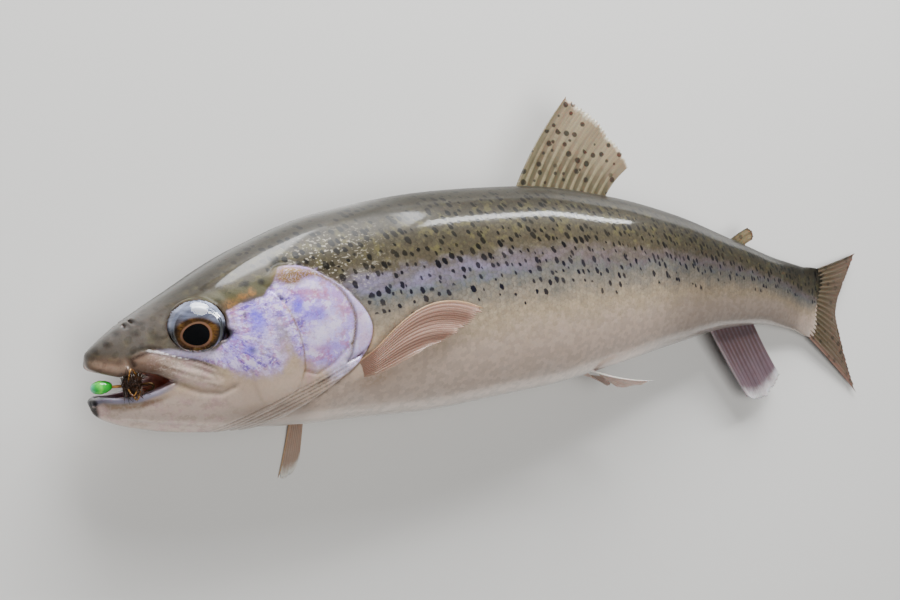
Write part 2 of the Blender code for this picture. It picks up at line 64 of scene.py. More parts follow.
# ---- camera ----
cameraSettings = {
    "place": (-86.054, 33.243, 289.044),
    "up": (0.15344, 0.98804, -0.01532), "forward": (0.55876, -0.09954, -0.82333),
    "lens": 50.0, "sensor": 36.0,
}


def makeCamera(values):
    data = bpy.data.cameras.new("camera")
    data.lens = values["lens"]
    data.sensor_width = values["sensor"]
    data.clip_start, data.clip_end = 0.01, 20.0
    camera = bpy.data.objects.new("camera", data)
    bpy.context.scene.collection.objects.link(camera)
    forward = Vector(values["forward"]).normalized()
    right = forward.cross(Vector(values["up"])).normalized()
    up = right.cross(forward)
    turn = Matrix((right, up, -forward)).transposed().to_4x4()
    place = Vector((np.array(values["place"]) + worldOffset) * mm)
    camera.matrix_world = Matrix.Translation(place) @ turn
    bpy.context.scene.camera = camera


makeCamera(cameraSettings)
print("camera set")

# ---- the body's form ----
# distance from the snout, height of the back, depth of the belly, half the width
bodyShape = {
    "stations": (
        (0.0, 2.6, -9.0, 1.5), (2.5, 5.2, -12.2, 4.4), (8.0, 8.5, -15.0, 7.4), (20.0, 14.1, -18.7, 11.4),
        (40.0, 22.4, -21.9, 14.6), (62.0, 27.8, -24.3, 16.0), (95.0, 30.0, -27.2, 16.8),
        (125.0, 29.4, -27.0, 16.4), (155.0, 26.0, -24.2, 14.4), (185.0, 21.0, -19.4, 11.2),
        (215.0, 15.0, -13.9, 7.8), (240.0, 11.6, -11.2, 5.4), (253.0, 11.3, -11.3, 4.0),
        (258.0, 12.0, -12.0, 2.6), (262.0, 12.4, -12.4, 1.0),
    ),
    "widest": 0.3, "squareness": 2.2, "roofSquareness": 0.15, "roofMiddle": 24.0, "roofReach": 20.0,
    "noseBulge": 0.6, "skinInset": 0.28,
}


def curveThrough(places, values):
    # a smooth curve that never overshoots, with a blunt foot
    t = np.sqrt(np.array(places, float))
    v = np.array(values, float)
    step = np.diff(t)
    rise = np.diff(v) / step
    slope = np.zeros(len(t))
    slope[0], slope[-1] = rise[0], rise[-1]
    for i in range(1, len(t) - 1):
        if rise[i - 1] * rise[i] > 0:
            before, after = 2 * step[i] + step[i - 1], step[i] + 2 * step[i - 1]
            slope[i] = (before + after) / (before / rise[i - 1] + after / rise[i])

    def value(s):
        x = np.sqrt(np.clip(np.asarray(s, float), places[0], places[-1]))
        i = np.clip(np.searchsorted(t, x, side="right") - 1, 0, len(step) - 1)
        u = (x - t[i]) / step[i]
        bend = step[i] * u * (1 - u) * ((1 - u) * slope[i] - u * slope[i + 1])
        return v[i] + (v[i + 1] - v[i]) * u * u * (3 - 2 * u) + bend

    return value


stationPlaces = [station[0] for station in bodyShape["stations"]]
backAt, bellyAt, widthAt = (
    curveThrough(stationPlaces, [station[k] for station in bodyShape["stations"]]) for k in (1, 2, 3)
)


def levelAt(s):
    return bodyShape["widest"] * (backAt(s) + bellyAt(s))


def squarenessAt(s, above):
    away = (s - bodyShape["roofMiddle"]) / bodyShape["roofReach"]
    roof = bodyShape["roofSquareness"] * np.clip(1 - away * away, 0, None)
    return bodyShape["squareness"] + np.where(above, roof, 0.0)


def signedPower(value, exponent):
    return np.sign(value) * np.abs(value) ** exponent


def reachAt(s, above):
    # from the widest level up to the back, or down to the belly
    return np.where(above, backAt(s) - levelAt(s), levelAt(s) - bellyAt(s))


def bodyPoint(s, angle, grow=0.0):
    # angle 0 is the back and a quarter turn is the left flank
    above = np.cos(angle) >= 0
    exponent = 2 / squarenessAt(s, above)
    y = levelAt(s) + (reachAt(s, above) + grow) * signedPower(np.cos(angle), exponent)
    z = (widthAt(s) + grow) * signedPower(np.sin(angle), exponent)
    return np.stack([s + 0 * angle, y, z], axis=-1)


def bodyRadius(s, y, z, grow):
    # 1 on the surface of the body swollen by grow, and its slopes in y and z
    above = y >= levelAt(s)
    reach, width = reachAt(s, above) + grow, widthAt(s) + grow
    exponent = squarenessAt(s, above)
    a, b = np.abs(y - levelAt(s)) / reach, np.abs(z) / width
    total = np.maximum(a ** exponent + b ** exponent, 1e-9)
    radius = total ** (1 / exponent)
    turn = total ** (1 / exponent - 1)
    return radius, turn * a ** (exponent - 1) / reach, turn * b ** (exponent - 1) / width


def bodyDistance(s, y, z, grow):
    small = 0.2
    radius, slopeY, slopeZ = bodyRadius(s, y, z, grow)
    slopeS = (bodyRadius(s + small, y, z, grow)[0] - bodyRadius(s - small, y, z, grow)[0]) / (2 * small)
    front = np.clip(-s, 0, None) / bodyShape["noseBulge"]
    radius = np.sqrt(radius ** 2 + front ** 2)
    slopeS = np.where(s < 0, -front / bodyShape["noseBulge"] / radius, slopeS)
    return (radius - 1) / np.sqrt(slopeS ** 2 + slopeY ** 2 + slopeZ ** 2 + 1e-9)


def bodyAngle(s, y, z):
    above = y >= levelAt(s)
    half = squarenessAt(s, above) / 2
    up = (np.abs(y - levelAt(s)) / reachAt(s, above)) ** half * np.where(above, 1, -1)
    return np.arctan2((np.abs(z) / widthAt(s)) ** half, up)


def flankPoint(s, y, lift=0.0):
    # a point at this height on the left side, or lifted off it
    s, y = np.asarray(s, float), np.asarray(y, float)
    above = y >= levelAt(s)
    exponent = squarenessAt(s, above)
    share = np.clip(np.abs(y - levelAt(s)) / reachAt(s, above), 0, 0.999)
    return np.stack([s, y, widthAt(s) * (1 - share ** exponent) ** (1 / exponent) + lift], axis=-1)


# how far round the body an angle lies: 0 at the back, 1 at the belly, in rows a millimetre apart
girthColumns = 90
girthPlaces = np.arange(0.0, 267.0)
girthAngles = np.linspace(0, pi, girthColumns + 1)
girthRows = bodyPoint(girthPlaces[:, None], girthAngles[None, :] + 0 * girthPlaces[:, None])
girthSteps = np.linalg.norm(np.diff(girthRows, axis=1), axis=2)
girthRun = np.concatenate([np.zeros((len(girthPlaces), 1)), np.cumsum(girthSteps, axis=1)], axis=1)
halfGirths = girthRun[:, -1]
girthShare = girthRun / halfGirths[:, None]
evenShares = np.linspace(0, 1, girthColumns + 1)
girthTurn = np.stack([np.interp(evenShares, share, girthAngles) for share in girthShare])


def lookUp(table, s, column):
    # a value between the rows and columns of a table
    s = np.clip(s, 0, len(table) - 1.001)
    column = np.clip(column, 0, table.shape[1] - 1.001)
    i, j = s.astype(int), column.astype(int)
    u, v = s - i, column - j
    near = table[i, j] * (1 - v) + table[i, j + 1] * v
    far = table[i + 1, j] * (1 - v) + table[i + 1, j + 1] * v
    return near * (1 - u) + far * u


def shareAt(s, angle):
    return lookUp(girthShare, s, angle / pi * girthColumns)


def angleAt(s, share):
    return lookUp(girthTurn, s, share * girthColumns)


def halfGirthAt(s):
    return np.interp(s, girthPlaces, halfGirths)


# ---- the pose ----
def bendTable():
    s = np.arange(-10.0, 320.0, 0.5)
    along = np.clip((s - pose["bendStart"]) / (pose["stalkEnd"] - pose["bendStart"]), 0, None)
    share = np.where(along < 1, along ** pose["bendPower"], 1 + pose["bendPower"] * (along - 1))
    angle = pose["tailBend"] * share
    step = np.stack([np.cos(angle), -np.sin(angle)], axis=1) * 0.5
    line = np.cumsum((step + np.roll(step, 1, axis=0)) / 2, axis=0)
    line -= line[np.argmin(np.abs(s))]
    return s, line, angle


bendPlaces, bendLine, bendAngles = bendTable()


def middleHeight(s):
    resting = widthAt(np.clip(s, pose["fattest"], pose["finStart"])) - pose["flat"]
    sunk = pose["finSink"] * np.clip(s - pose["finStart"], 0, None)
    return np.maximum(resting - sunk, pose["finLowest"])


def lie(points):
    # straight millimetres to metres in the frame; what would sink into the floor lies flat on it
    s, y, z = np.asarray(points, float).T
    angle = np.interp(s, bendPlaces, bendAngles)
    x = np.interp(s, bendPlaces, bendLine[:, 0]) + np.sin(angle) * y
    across = np.interp(s, bendPlaces, bendLine[:, 1]) + np.cos(angle) * y
    height = z + middleHeight(s)
    height = (height + np.sqrt(height ** 2 + pose["floorSoftness"] ** 2)) / 2
    return (np.stack([x, across, height], axis=1) + worldOffset) * mm


# ---- small tools ----
def ease(low, high, value):
    # from 0 at low to 1 at high, without corners
    t = np.clip((value - low) / (high - low), 0, 1)
    return t * t * (3 - 2 * t)


def bump(value, reach):
    return np.exp(-(value / reach) ** 2)


def segmentDistance(s, y, a, b):
    along = np.array(b, float) - np.array(a, float)
    t = np.clip(((s - a[0]) * along[0] + (y - a[1]) * along[1]) / (along @ along), 0, 1)
    return np.hypot(s - a[0] - t * along[0], y - a[1] - t * along[1])


def pathDistance(s, y, path):
    nearest = segmentDistance(s, y, path[0], path[1])
    for a, b in zip(path[1:-1], path[2:]):
        nearest = np.minimum(nearest, segmentDistance(s, y, a, b))
    return nearest


def outlineDistance(s, y, outline):
    # distance to a closed outline seen from the side, less than 0 inside it
    closed = list(outline) + [outline[0]]
    inside = np.zeros(np.shape(s), bool)
    for a, b in zip(closed[:-1], closed[1:]):
        if a[1] == b[1]:
            continue
        crosses = (y < a[1]) != (y < b[1])
        inside ^= crosses & (s < a[0] + (y - a[1]) * (b[0] - a[0]) / (b[1] - a[1]))
    return pathDistance(s, y, closed) * np.where(inside, -1, 1)


def roundedOutline(outline, steps=4):
    corners = [np.array(corner, float) for corner in outline]
    count = len(corners)
    made = []
    for i in range(count):
        a, b, c, d = (corners[(i + k - 1) % count] for k in range(4))
        for step in range(steps):
            t = step / steps
            made.append(tuple(0.5 * (2 * b + (c - a) * t + (2 * a - 5 * b + 4 * c - d) * t ** 2
                                     + (3 * b - a - 3 * c + d) * t ** 3)))
    return made


def smoothMax(a, b, blend):
    h = np.clip(0.5 + 0.5 * (a - b) / blend, 0, 1)
    return b + (a - b) * h + blend * h * (1 - h)


def linear(code):
    # a colour written as on a paint chart, in the renderer's linear light
    channels = [int(code[k:k + 2], 16) / 255 for k in (1, 3, 5)]
    return tuple((c / 12.92 if c <= 0.04045 else ((c + 0.055) / 1.055) ** 2.4) for c in channels) + (1.0,)


def makeMesh(name, points, faces, smooth=True):
    mesh = bpy.data.meshes.new(name)
    mesh.from_pydata([tuple(point) for point in points], [], [tuple(face) for face in faces])
    mesh.validate()
    if smooth:
        mesh.shade_smooth()
    return mesh


def makeObject(name, mesh):
    made = bpy.data.objects.new(name, mesh)
    bpy.context.scene.collection.objects.link(made)
    return made


def setField(mesh, name, values):
    values = np.asarray(values, np.float32)
    kind = "FLOAT_VECTOR" if values.ndim == 2 else "FLOAT"
    field = mesh.attributes.new(name, kind, "POINT")
    field.data.foreach_set("vector" if values.ndim == 2 else "value", values.ravel())


def meshPoints(mesh):
    points = np.empty(len(mesh.vertices) * 3, np.float32)
    mesh.vertices.foreach_get("co", points)
    return points.reshape(-1, 3).astype(float)


def setPoints(mesh, points):
    mesh.vertices.foreach_set("co", np.asarray(points, np.float32).ravel())
    mesh.update()


def layDown(made):
    setPoints(made.data, lie(meshPoints(made.data)))
    return made


def faceOutwards(mesh, merge=0.0):
    # joins doubled points, drops loose ones and turns all faces outwards
    shape = bmesh.new()
    shape.from_mesh(mesh)
    if merge:
        bmesh.ops.remove_doubles(shape, verts=shape.verts, dist=merge)
    loose = [vert for vert in shape.verts if not vert.link_faces]
    bmesh.ops.delete(shape, geom=loose, context="VERTS")
    bmesh.ops.recalc_face_normals(shape, faces=shape.faces)
    shape.to_mesh(mesh)
    shape.free()
    return mesh


def finishPiece(made, material, slot, *nodes):
    if material and not made.data.materials:
        made.data.materials.append(material)
    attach(made, "root")
    if nodes:
        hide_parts(*nodes)
    print("made", made.name, len(made.data.polygons), "faces")


def layPiece(name, mesh, material, slot, *nodes):
    # keeps the places on the straight fish as a field, then lays the piece down
    setField(mesh, "straight", meshPoints(mesh))
    finishPiece(layDown(makeObject(name, mesh)), material, slot, *nodes)


# ---- the face: places seen from the side ----
face = {
    "upperLip": ((-6.0, 0.6), (0.8, -0.5), (5.4, -2.4), (9.3, -1.7), (13.3, -3.0), (16.8, -5.2)),
    "lowerLip": ((12.9, -6.5), (8.8, -7.3), (5.0, -7.0), (1.7, -6.35), (0.5, -6.8), (-6.0, -7.4)),
    "cavity": ((1.4, 1.6, 1.0), (3.5, 3.0, 3.2), (9.0, 4.6, 5.2), (18.0, 5.0, 6.0), (26.0, 3.6, 5.4),
               (30.0, 2.0, 4.0)),
    "cavityLevel": -5.4, "lipRoundness": 0.55,
    "maxilla": ((9.3, -1.7), (8.0, 1.2), (12.1, 2.6), (17.9, 0.1), (22.1, -1.3), (25.6, -3.5),
                (27.6, -6.6), (26.4, -8.6), (22.5, -7.6), (17.5, -5.3), (13.3, -3.0)),
    "maxillaProud": 0.55, "maxillaGroove": 0.4,
    "eye": (22.9, 6.4), "eyeRadius": 6.6, "eyeHalfDepth": 3.4, "eyeProud": 1.9,
    "lids": (6.5, 5.7), "eyeCorner": (-5.6, -2.6), "cornerRadius": 1.25, "lidRoundness": 0.25,
    "lidThickness": 0.14, "socketFloor": -1.2,
    "snout": (0.1, 1.8, 0.07), "snoutRoundness": 0.9, "jawTip": -0.5,
    "nostrils": ((9.4, 8.3, 0.62), (11.0, 8.9, 0.5)),
    "preopercle": ((39.3, 12.8), (42.0, 10.3), (44.5, 6.2), (46.1, 0.5), (46.6, -3.6), (46.6, -7.4),
                   (45.3, -11.0), (42.0, -14.0), (-20.0, -40.0), (-20.0, 40.0), (36.0, 40.0)),
    "opercle": ((39.5, 12.9), (41.2, 14.3), (44.7, 15.9), (49.4, 15.3), (53.8, 13.2), (58.0, 9.3),
                (60.2, 4.6), (60.5, 1.2), (59.1, -4.1), (57.2, -8.0), (52.0, -10.6), (44.0, -13.0),
                (36.0, -13.5), (34.0, 0.0)),
    "gillFlap": ((36.0, 13.6), (41.6, 15.3), (45.0, 16.9), (51.5, 15.6), (58.5, 10.4), (63.6, 4.0),
                 (65.2, -1.0), (62.8, -6.4), (57.5, -10.8), (50.0, -15.0), (42.0, -18.5), (34.0, -20.9),
                 (24.0, -20.6), (14.0, -20.0), (10.0, 0.0)),
    "suture": ((59.0, -3.6), (54.3, -7.4), (49.8, -9.4), (46.8, -8.2)),
    "jawFold": ((16.8, -5.6), (21.8, -8.4), (26.6, -9.6), (29.5, -8.6)),
    "pectoralRoot": ((57.4, -8.8), (61.2, -8.2), (62.6, -12.4), (59.0, -13.6)),
}
maxillaOutline = roundedOutline(face["maxilla"], 3)
gillFlapOutline = roundedOutline(face["gillFlap"], 3)
opercleOutline = roundedOutline(face["opercle"], 3)
mouthOutline = face["upperLip"] + face["lowerLip"]


def eyeAxes():
    # the middle of the left eye and its own axes: towards the snout, upwards and outwards
    s, y = face["eye"]
    small = 0.5
    along, upward = (flankPoint(s + a, y + b) - flankPoint(s - a, y - b) for a, b in ((small, 0), (0, small)))
    outward = np.cross(along, upward)
    outward /= np.linalg.norm(outward)
    up = np.array((0, 1, 0)) - outward * outward[1]
    up /= np.linalg.norm(up)
    middle = flankPoint(s, y) + outward * (face["eyeProud"] - face["eyeHalfDepth"])
    return middle, np.array([np.cross(outward, up), up, outward])


eyeMiddle, eyeTurn = eyeAxes()


def eyePlace(s, y, z):
    # a place in the axes of the eye on its own side
    away = np.stack([s, y, np.abs(z)], axis=-1) - eyeMiddle
    return np.moveaxis(away @ eyeTurn.T, -1, 0)


def lidDistance(ahead, up):
    # outside the opening of the eye more than 0: an ellipse with a corner at the rear
    wide, tall = face["lids"]
    oval = (np.sqrt((ahead / wide) ** 2 + (up / tall) ** 2) - 1) * tall
    x, y = face["eyeCorner"]
    return -smoothMax(-oval, face["cornerRadius"] - np.hypot(ahead - x, up - y), 0.8)


def gillRays(s, y, flap):
    # the fan of rays under the gill cover: a count across them and where they show
    rays = (-8.2 - 0.33 * (56.0 - s) - y) / 0.98
    shown = ease(0.0, 0.5, rays) * ease(8.6, 7.0, rays)
    return rays, shown * ease(22, 30, s) * ease(0.3, -0.6, flap)


def relief(s, y, z):
    # how far the face's bones, folds and rims stand out of the plain body
    height = np.zeros(np.shape(s))
    onSide = ease(0.12, 0.3, np.abs(z) / widthAt(s))
    bone = outlineDistance(s, y, maxillaOutline)
    height += face["maxillaProud"] * ease(0.25, -2.2, bone) * ease(32, 20, s) * onSide
    groove = face["maxillaGroove"] * bump(bone - 0.4, 0.38) * ease(29, 22, s)
    height -= groove * ease(-6, -3, y) * onSide
    height -= 0.22 * bump(bone + 1.9, 0.35) * ease(12, 16, s) * onSide
    ahead, up, out = eyePlace(s, y, z)
    lid = lidDistance(ahead, up)
    height += (0.07 * bump(lid - 1.4, 1.1) - 0.03 * bump(lid - 3.2, 0.9)) * (out > -6)
    edge = outlineDistance(s, y, face["preopercle"])
    fade = ease(13.5, 10.0, y) * onSide
    height += 0.22 * ease(0.5, -0.2, edge) * ease(-9, -1.5, edge) * fade
    height -= 0.16 * bump(edge - 0.6, 0.5) * fade
    plate = outlineDistance(s, y, opercleOutline)
    covered = np.where(y > 5, ease(40.0, 45.0, s), 1)
    height += 0.16 * ease(0.45, -0.25, plate) * ease(-5.0, -0.6, plate) * covered * onSide
    flap = outlineDistance(s, y, gillFlapOutline)
    behind = ease(-0.15, 0.35, flap) * np.exp(-np.clip(flap, 0, None) / 2.2)
    height -= 0.5 * behind * ease(8, 20, s) * covered
    height -= 0.22 * bump(pathDistance(s, y, face["suture"]), 0.4) * onSide
    height -= 0.38 * bump(pathDistance(s, y, face["jawFold"]), 0.7) * onSide
    rays, rayed = gillRays(s, y, flap)
    height += 0.09 * np.cos(2 * pi * rays) * rayed
    lipEdge = pathDistance(s, y, face["lowerLip"])
    height += 0.22 * bump(lipEdge - 0.8, 0.8) * ease(16, 11, s)
    height -= 0.18 * bump(lipEdge - 2.5, 0.7) * ease(17, 12, s) * onSide
    upperEdge = pathDistance(s, y, face["upperLip"][:4])
    height += 0.25 * bump(upperEdge - 0.9, 0.9) * ease(9.5, 7.5, s)
    height -= 0.18 * bump(upperEdge - 2.6, 0.6) * ease(8, 6, s)
    for place, level, reach in face["nostrils"]:
        away = np.hypot(s - place, y - level) + 20 * (np.abs(z) < 1.5)
        height += 0.2 * bump(away - 1.25 * reach, 0.4) - 0.9 * bump(away, reach)
    height += 0.35 * bump(np.hypot((s - 34.5) / 6.0, (y + 1.5) / 6.5), 1.0) * onSide
    throat = np.abs(z) / widthAt(s)
    height -= 0.55 * bump(throat - 0.42, 0.13) * ease(4, 9, s) * ease(27, 18, s) * (y < -9)
    height -= 0.5 * bump(throat, 0.12) * ease(26, 32, s) * ease(52, 44, s) * (y < -12)
    root = outlineDistance(s, y, face["pectoralRoot"])
    height += 0.45 * ease(1.4, -0.8, root) * onSide
    height -= 0.5 * bump(pathDistance(s, y, ((57.6, -7.6), (61.5, -7.0))), 0.6) * onSide
    return height


def cavityDistance(s, y, z):
    # less than 0 in the hollow of the mouth
    places = [row[0] for row in face["cavity"]]
    tall = np.interp(s, places, [row[1] for row in face["cavity"]])
    wide = np.interp(s, places, [row[2] for row in face["cavity"]])
    a, b = np.abs(y - face["cavityLevel"]) / tall, np.abs(z) / wide
    radius = (a ** 2.4 + b ** 2.4 + 1e-9) ** (1 / 2.4)
    inner = (radius - 1) * np.minimum(tall, wide)
    ends = np.maximum(places[0] - s, s - places[-1])
    return smoothMax(inner, ends, 0.8)


def skinDistance(s, y, z):
    # less than 0 in the flesh: the body with its relief, less the mouth and the eye sockets
    body = bodyDistance(s, y, z, -bodyShape["skinInset"])
    near = np.abs(body) < 2.2
    value = body.copy()
    value[near] -= relief(s[near], y[near], z[near])
    front = (s < 40) & (body < 3)
    sf, yf, zf = s[front], y[front], z[front]
    mouth = np.minimum(outlineDistance(sf, yf, mouthOutline), cavityDistance(sf, yf, zf))
    cut = smoothMax(value[front], -mouth, face["lipRoundness"])
    ahead, up, out = eyePlace(sf, yf, zf)
    reach, depth = face["eyeRadius"], face["eyeHalfDepth"]
    ball = np.sqrt((ahead ** 2 + up ** 2) / reach ** 2 + (out / depth) ** 2)
    slope = np.sqrt((ahead ** 2 + up ** 2) / reach ** 4 + (out / depth ** 2) ** 2)
    lid = (ball - 1) * ball / np.maximum(slope, 0.05) - face["lidThickness"]
    cut = -smoothMax(-cut, -lid, 0.5)
    socket = smoothMax(lidDistance(ahead, up), face["socketFloor"] - out, 0.3)
    cut = smoothMax(cut, -socket, face["lidRoundness"])
    start, level, turn = face["snout"]
    past = start + turn * np.clip(level - yf, 0, None) ** 3 - sf
    value[front] = smoothMax(cut, np.where(yf > -4, past, face["jawTip"] - sf), face["snoutRoundness"])
    return value


# the head is made as a fine net in a box, the trunk and stalk as rings
skinMesh = {
    "headPitch": 0.42, "headEnd": 67.0, "headBox": ((-1.6, -27.0, -17.6), (68.0, 29.5, 17.6)),
    "trunkAround": 132, "trunkStep": 1.0, "tailTip": 264.5, "tipRings": 5, "lobe": 1.6, "lobeHeight": 9.0,
    "lobeReach": 4.2, "tipThinning": 0.85, "tipNarrowing": 0.06,
}


def surfaceNet(low, high, pitch, field):
    # the surface where a field is 0, as one smooth sheet of quads
    axes = [np.arange(a, b + pitch, pitch) for a, b in zip(low, high)]
    grid = np.meshgrid(*axes, indexing="ij")
    values = field(*(part.ravel() for part in grid)).reshape(grid[0].shape)
    inside = values < 0
    size = [n - 1 for n in values.shape]
    corners = [(i, j, k) for i in (0, 1) for j in (0, 1) for k in (0, 1)]
    count = sum(inside[i:i + size[0], j:j + size[1], k:k + size[2]].astype(np.int8) for i, j, k in corners)
    cells = np.argwhere((count > 0) & (count < 8))
    total, hits = np.zeros((len(cells), 3)), np.zeros(len(cells))
    for corner in corners:
        for axis in range(3):
            if corner[axis]:
                continue
            other = list(corner)
            other[axis] = 1
            a = values[tuple((cells + corner).T)]
            b = values[tuple((cells + other).T)]
            crosses = (a < 0) != (b < 0)
            t = np.where(crosses, a / np.where(crosses, a - b, 1), 0)
            place = np.array(corner, float) + t[:, None] * (np.array(other) - np.array(corner))
            total += place * crosses[:, None]
            hits += crosses
    points = (cells + total / hits[:, None]) * pitch + np.array(low)
    number = -np.ones(size, int)
    number[tuple(cells.T)] = np.arange(len(cells))
    faces = []
    for axis in range(3):
        first, second = (axis + 1) % 3, (axis + 2) % 3
        ahead = np.roll(inside, -1, axis)
        changed = inside != ahead
        limit = [slice(1, n) for n in size]
        limit[axis] = slice(0, size[axis])
        mask = np.zeros_like(changed)
        mask[tuple(limit)] = changed[tuple(limit)]
        edges = np.argwhere(mask)
        u, v = np.eye(3, dtype=int)[first], np.eye(3, dtype=int)[second]
        around = [number[tuple((edges - shift).T)] for shift in (u + v, v, 0 * u, u)]
        quads = np.stack(around, axis=1)
        flip = ~inside[tuple(edges.T)]
        quads[flip] = quads[flip][:, ::-1]
        faces.append(quads[(quads >= 0).all(axis=1)])
    return points, np.concatenate(faces)


def slopeOf(field, points, small=0.05):
    slopes = []
    for axis in range(3):
        step = np.eye(3)[axis] * small
        slopes.append((field(*(points + step).T) - field(*(points - step).T)) / (2 * small))
    return np.stack(slopes, axis=1)


def settle(points, field, rounds=3):
    # move each point straight onto the surface
    for _ in range(rounds):
        slope = slopeOf(field, points)
        size = np.maximum((slope ** 2).sum(axis=1), 0.2)
        move = (field(*points.T) / size)[:, None] * slope
        length = np.linalg.norm(move, axis=1)[:, None]
        points = points - move * np.minimum(1, 0.25 / np.maximum(length, 1e-9))
    return points


def stalkTaper(s):
    # the stalk thins towards the roots of the tail fin
    return 1 - 0.5 * ease(222.0, 266.0, s)


def reliefEnd(s):
    # the head's relief dies out just behind the gill cover
    return ease(76.0, 70.0, s)


def trunkRing(s):
    # one ring round the body with the relief of the head's end on it
    around = skinMesh["trunkAround"]
    angle = 2 * pi * np.arange(around) / around
    ring = bodyPoint(np.full(around, s), angle, -bodyShape["skinInset"])
    before, after = np.roll(ring, 1, axis=0), np.roll(ring, -1, axis=0)
    along = bodyPoint(np.full(around, s + 0.5), angle) - bodyPoint(np.full(around, s - 0.5), angle)
    outward = np.cross(along, after - before)
    outward /= np.maximum(np.linalg.norm(outward, axis=1), 1e-9)[:, None]
    inwards = (outward[:, 1:] * (ring[:, 1:] - [levelAt(s), 0])).sum(axis=1) < 0
    outward *= np.where(inwards, -1, 1)[:, None]
    ring = ring + outward * relief(*ring.T)[:, None] * float(reliefEnd(s))
    return ring * (1, 1, stalkTaper(s))


def skinRings(values):
    # the trunk and stalk, then a few thin rings with two lobes that the tail fin grows from
    rings = [trunkRing(s) for s in np.arange(values["headEnd"], pose["stalkEnd"] + 0.01, values["trunkStep"])]
    last = rings[-1]
    middle = last[:, 1].mean()
    up = last[:, 1] - middle
    lobes = sum(bump(up + side * values["lobeHeight"], values["lobeReach"]) for side in (-1, 1))
    for k in range(values["tipRings"]):
        t = (k + 1) / values["tipRings"]
        ring = last.copy()
        ring[:, 0] += (values["tailTip"] - last[0, 0]) * t + values["lobe"] * t * lobes
        ring[:, 1] = middle + up * (1 - values["tipNarrowing"] * t * t)
        ring[:, 2] *= 1 - values["tipThinning"] * t * t
        rings.append(ring)
    return rings


def buildSkin():
    values = skinMesh
    points, faces = surfaceNet(*values["headBox"], values["headPitch"], skinDistance)
    head = makeMesh("head", settle(points, skinDistance), faces)
    shape = bmesh.new()
    shape.from_mesh(head)
    edge = values["headEnd"] - 1.0
    geometry = shape.verts[:] + shape.edges[:] + shape.faces[:]
    bmesh.ops.bisect_plane(shape, geom=geometry, dist=1e-4, plane_co=(edge, 0, 0), plane_no=(1, 0, 0),
                           clear_outer=True)
    rings = skinRings(values)
    rows = [[shape.verts.new(tuple(point)) for point in ring] for ring in rings]
    around = len(rows[0])
    for a, b in zip(rows[:-1], rows[1:]):
        for k in range(around):
            shape.faces.new((a[k], a[(k + 1) % around], b[(k + 1) % around], b[k]))
    tip = shape.verts.new(tuple(rings[-1].mean(axis=0)))
    for k in range(around):
        shape.faces.new((rows[-1][k], rows[-1][(k + 1) % around], tip))
    joinLoops(shape, edge, rows[0])
    loose = [vert for vert in shape.verts if not vert.link_faces]
    bmesh.ops.delete(shape, geom=loose, context="VERTS")
    bmesh.ops.recalc_face_normals(shape, faces=shape.faces)
    bmesh.ops.triangulate(shape, faces=[face for face in shape.faces if len(face.verts) > 4])
    mesh = bpy.data.meshes.new("troutSkin")
    shape.to_mesh(mesh)
    shared = [len(item.link_faces) for item in shape.edges]
    shape.free()
    print("skin edges that are open", shared.count(1), "and where two sheets touch", shared.count(4))
    mesh.shade_smooth()
    return makeObject("troutSkin", mesh)


def joinLoops(shape, edge, ring):
    # a strip of triangles from the head's cut edge to the trunk's first ring
    cut = [item.verts for item in shape.edges if item.is_boundary]
    verts = {vert for ends in cut if all(abs(end.co.x - edge) < 0.01 for end in ends) for vert in ends}
    level = float(levelAt(edge))

    def turnOf(vert):
        return np.arctan2(vert.co.z, vert.co.y - level) % (2 * pi)

    def after(loop, k):
        # the next point of a loop, and how far round it lies
        vert = loop[(k + 1) % len(loop)]
        return vert, turnOf(vert) + (2 * pi if k + 1 >= len(loop) else 0)

    head, tail = sorted(verts, key=turnOf), sorted(ring, key=turnOf)
    i = j = 0
    while i < len(head) or j < len(tail):
        a, b = head[i % len(head)], tail[j % len(tail)]
        (nextHead, headTurn), (nextTail, tailTurn) = after(head, i), after(tail, j)
        if j >= len(tail) or (i < len(head) and headTurn < tailTurn):
            shape.faces.new((a, nextHead, b))
            i += 1
        else:
            shape.faces.new((a, nextTail, b))
            j += 1


# ---- node helpers ----
socketKinds = {
    "vector": "NodeSocketVector", "value": "NodeSocketFloat", "colour": "NodeSocketColor",
    "count": "NodeSocketInt", "geometry": "NodeSocketGeometry", "object": "NodeSocketObject",
    "material": "NodeSocketMaterial",
}


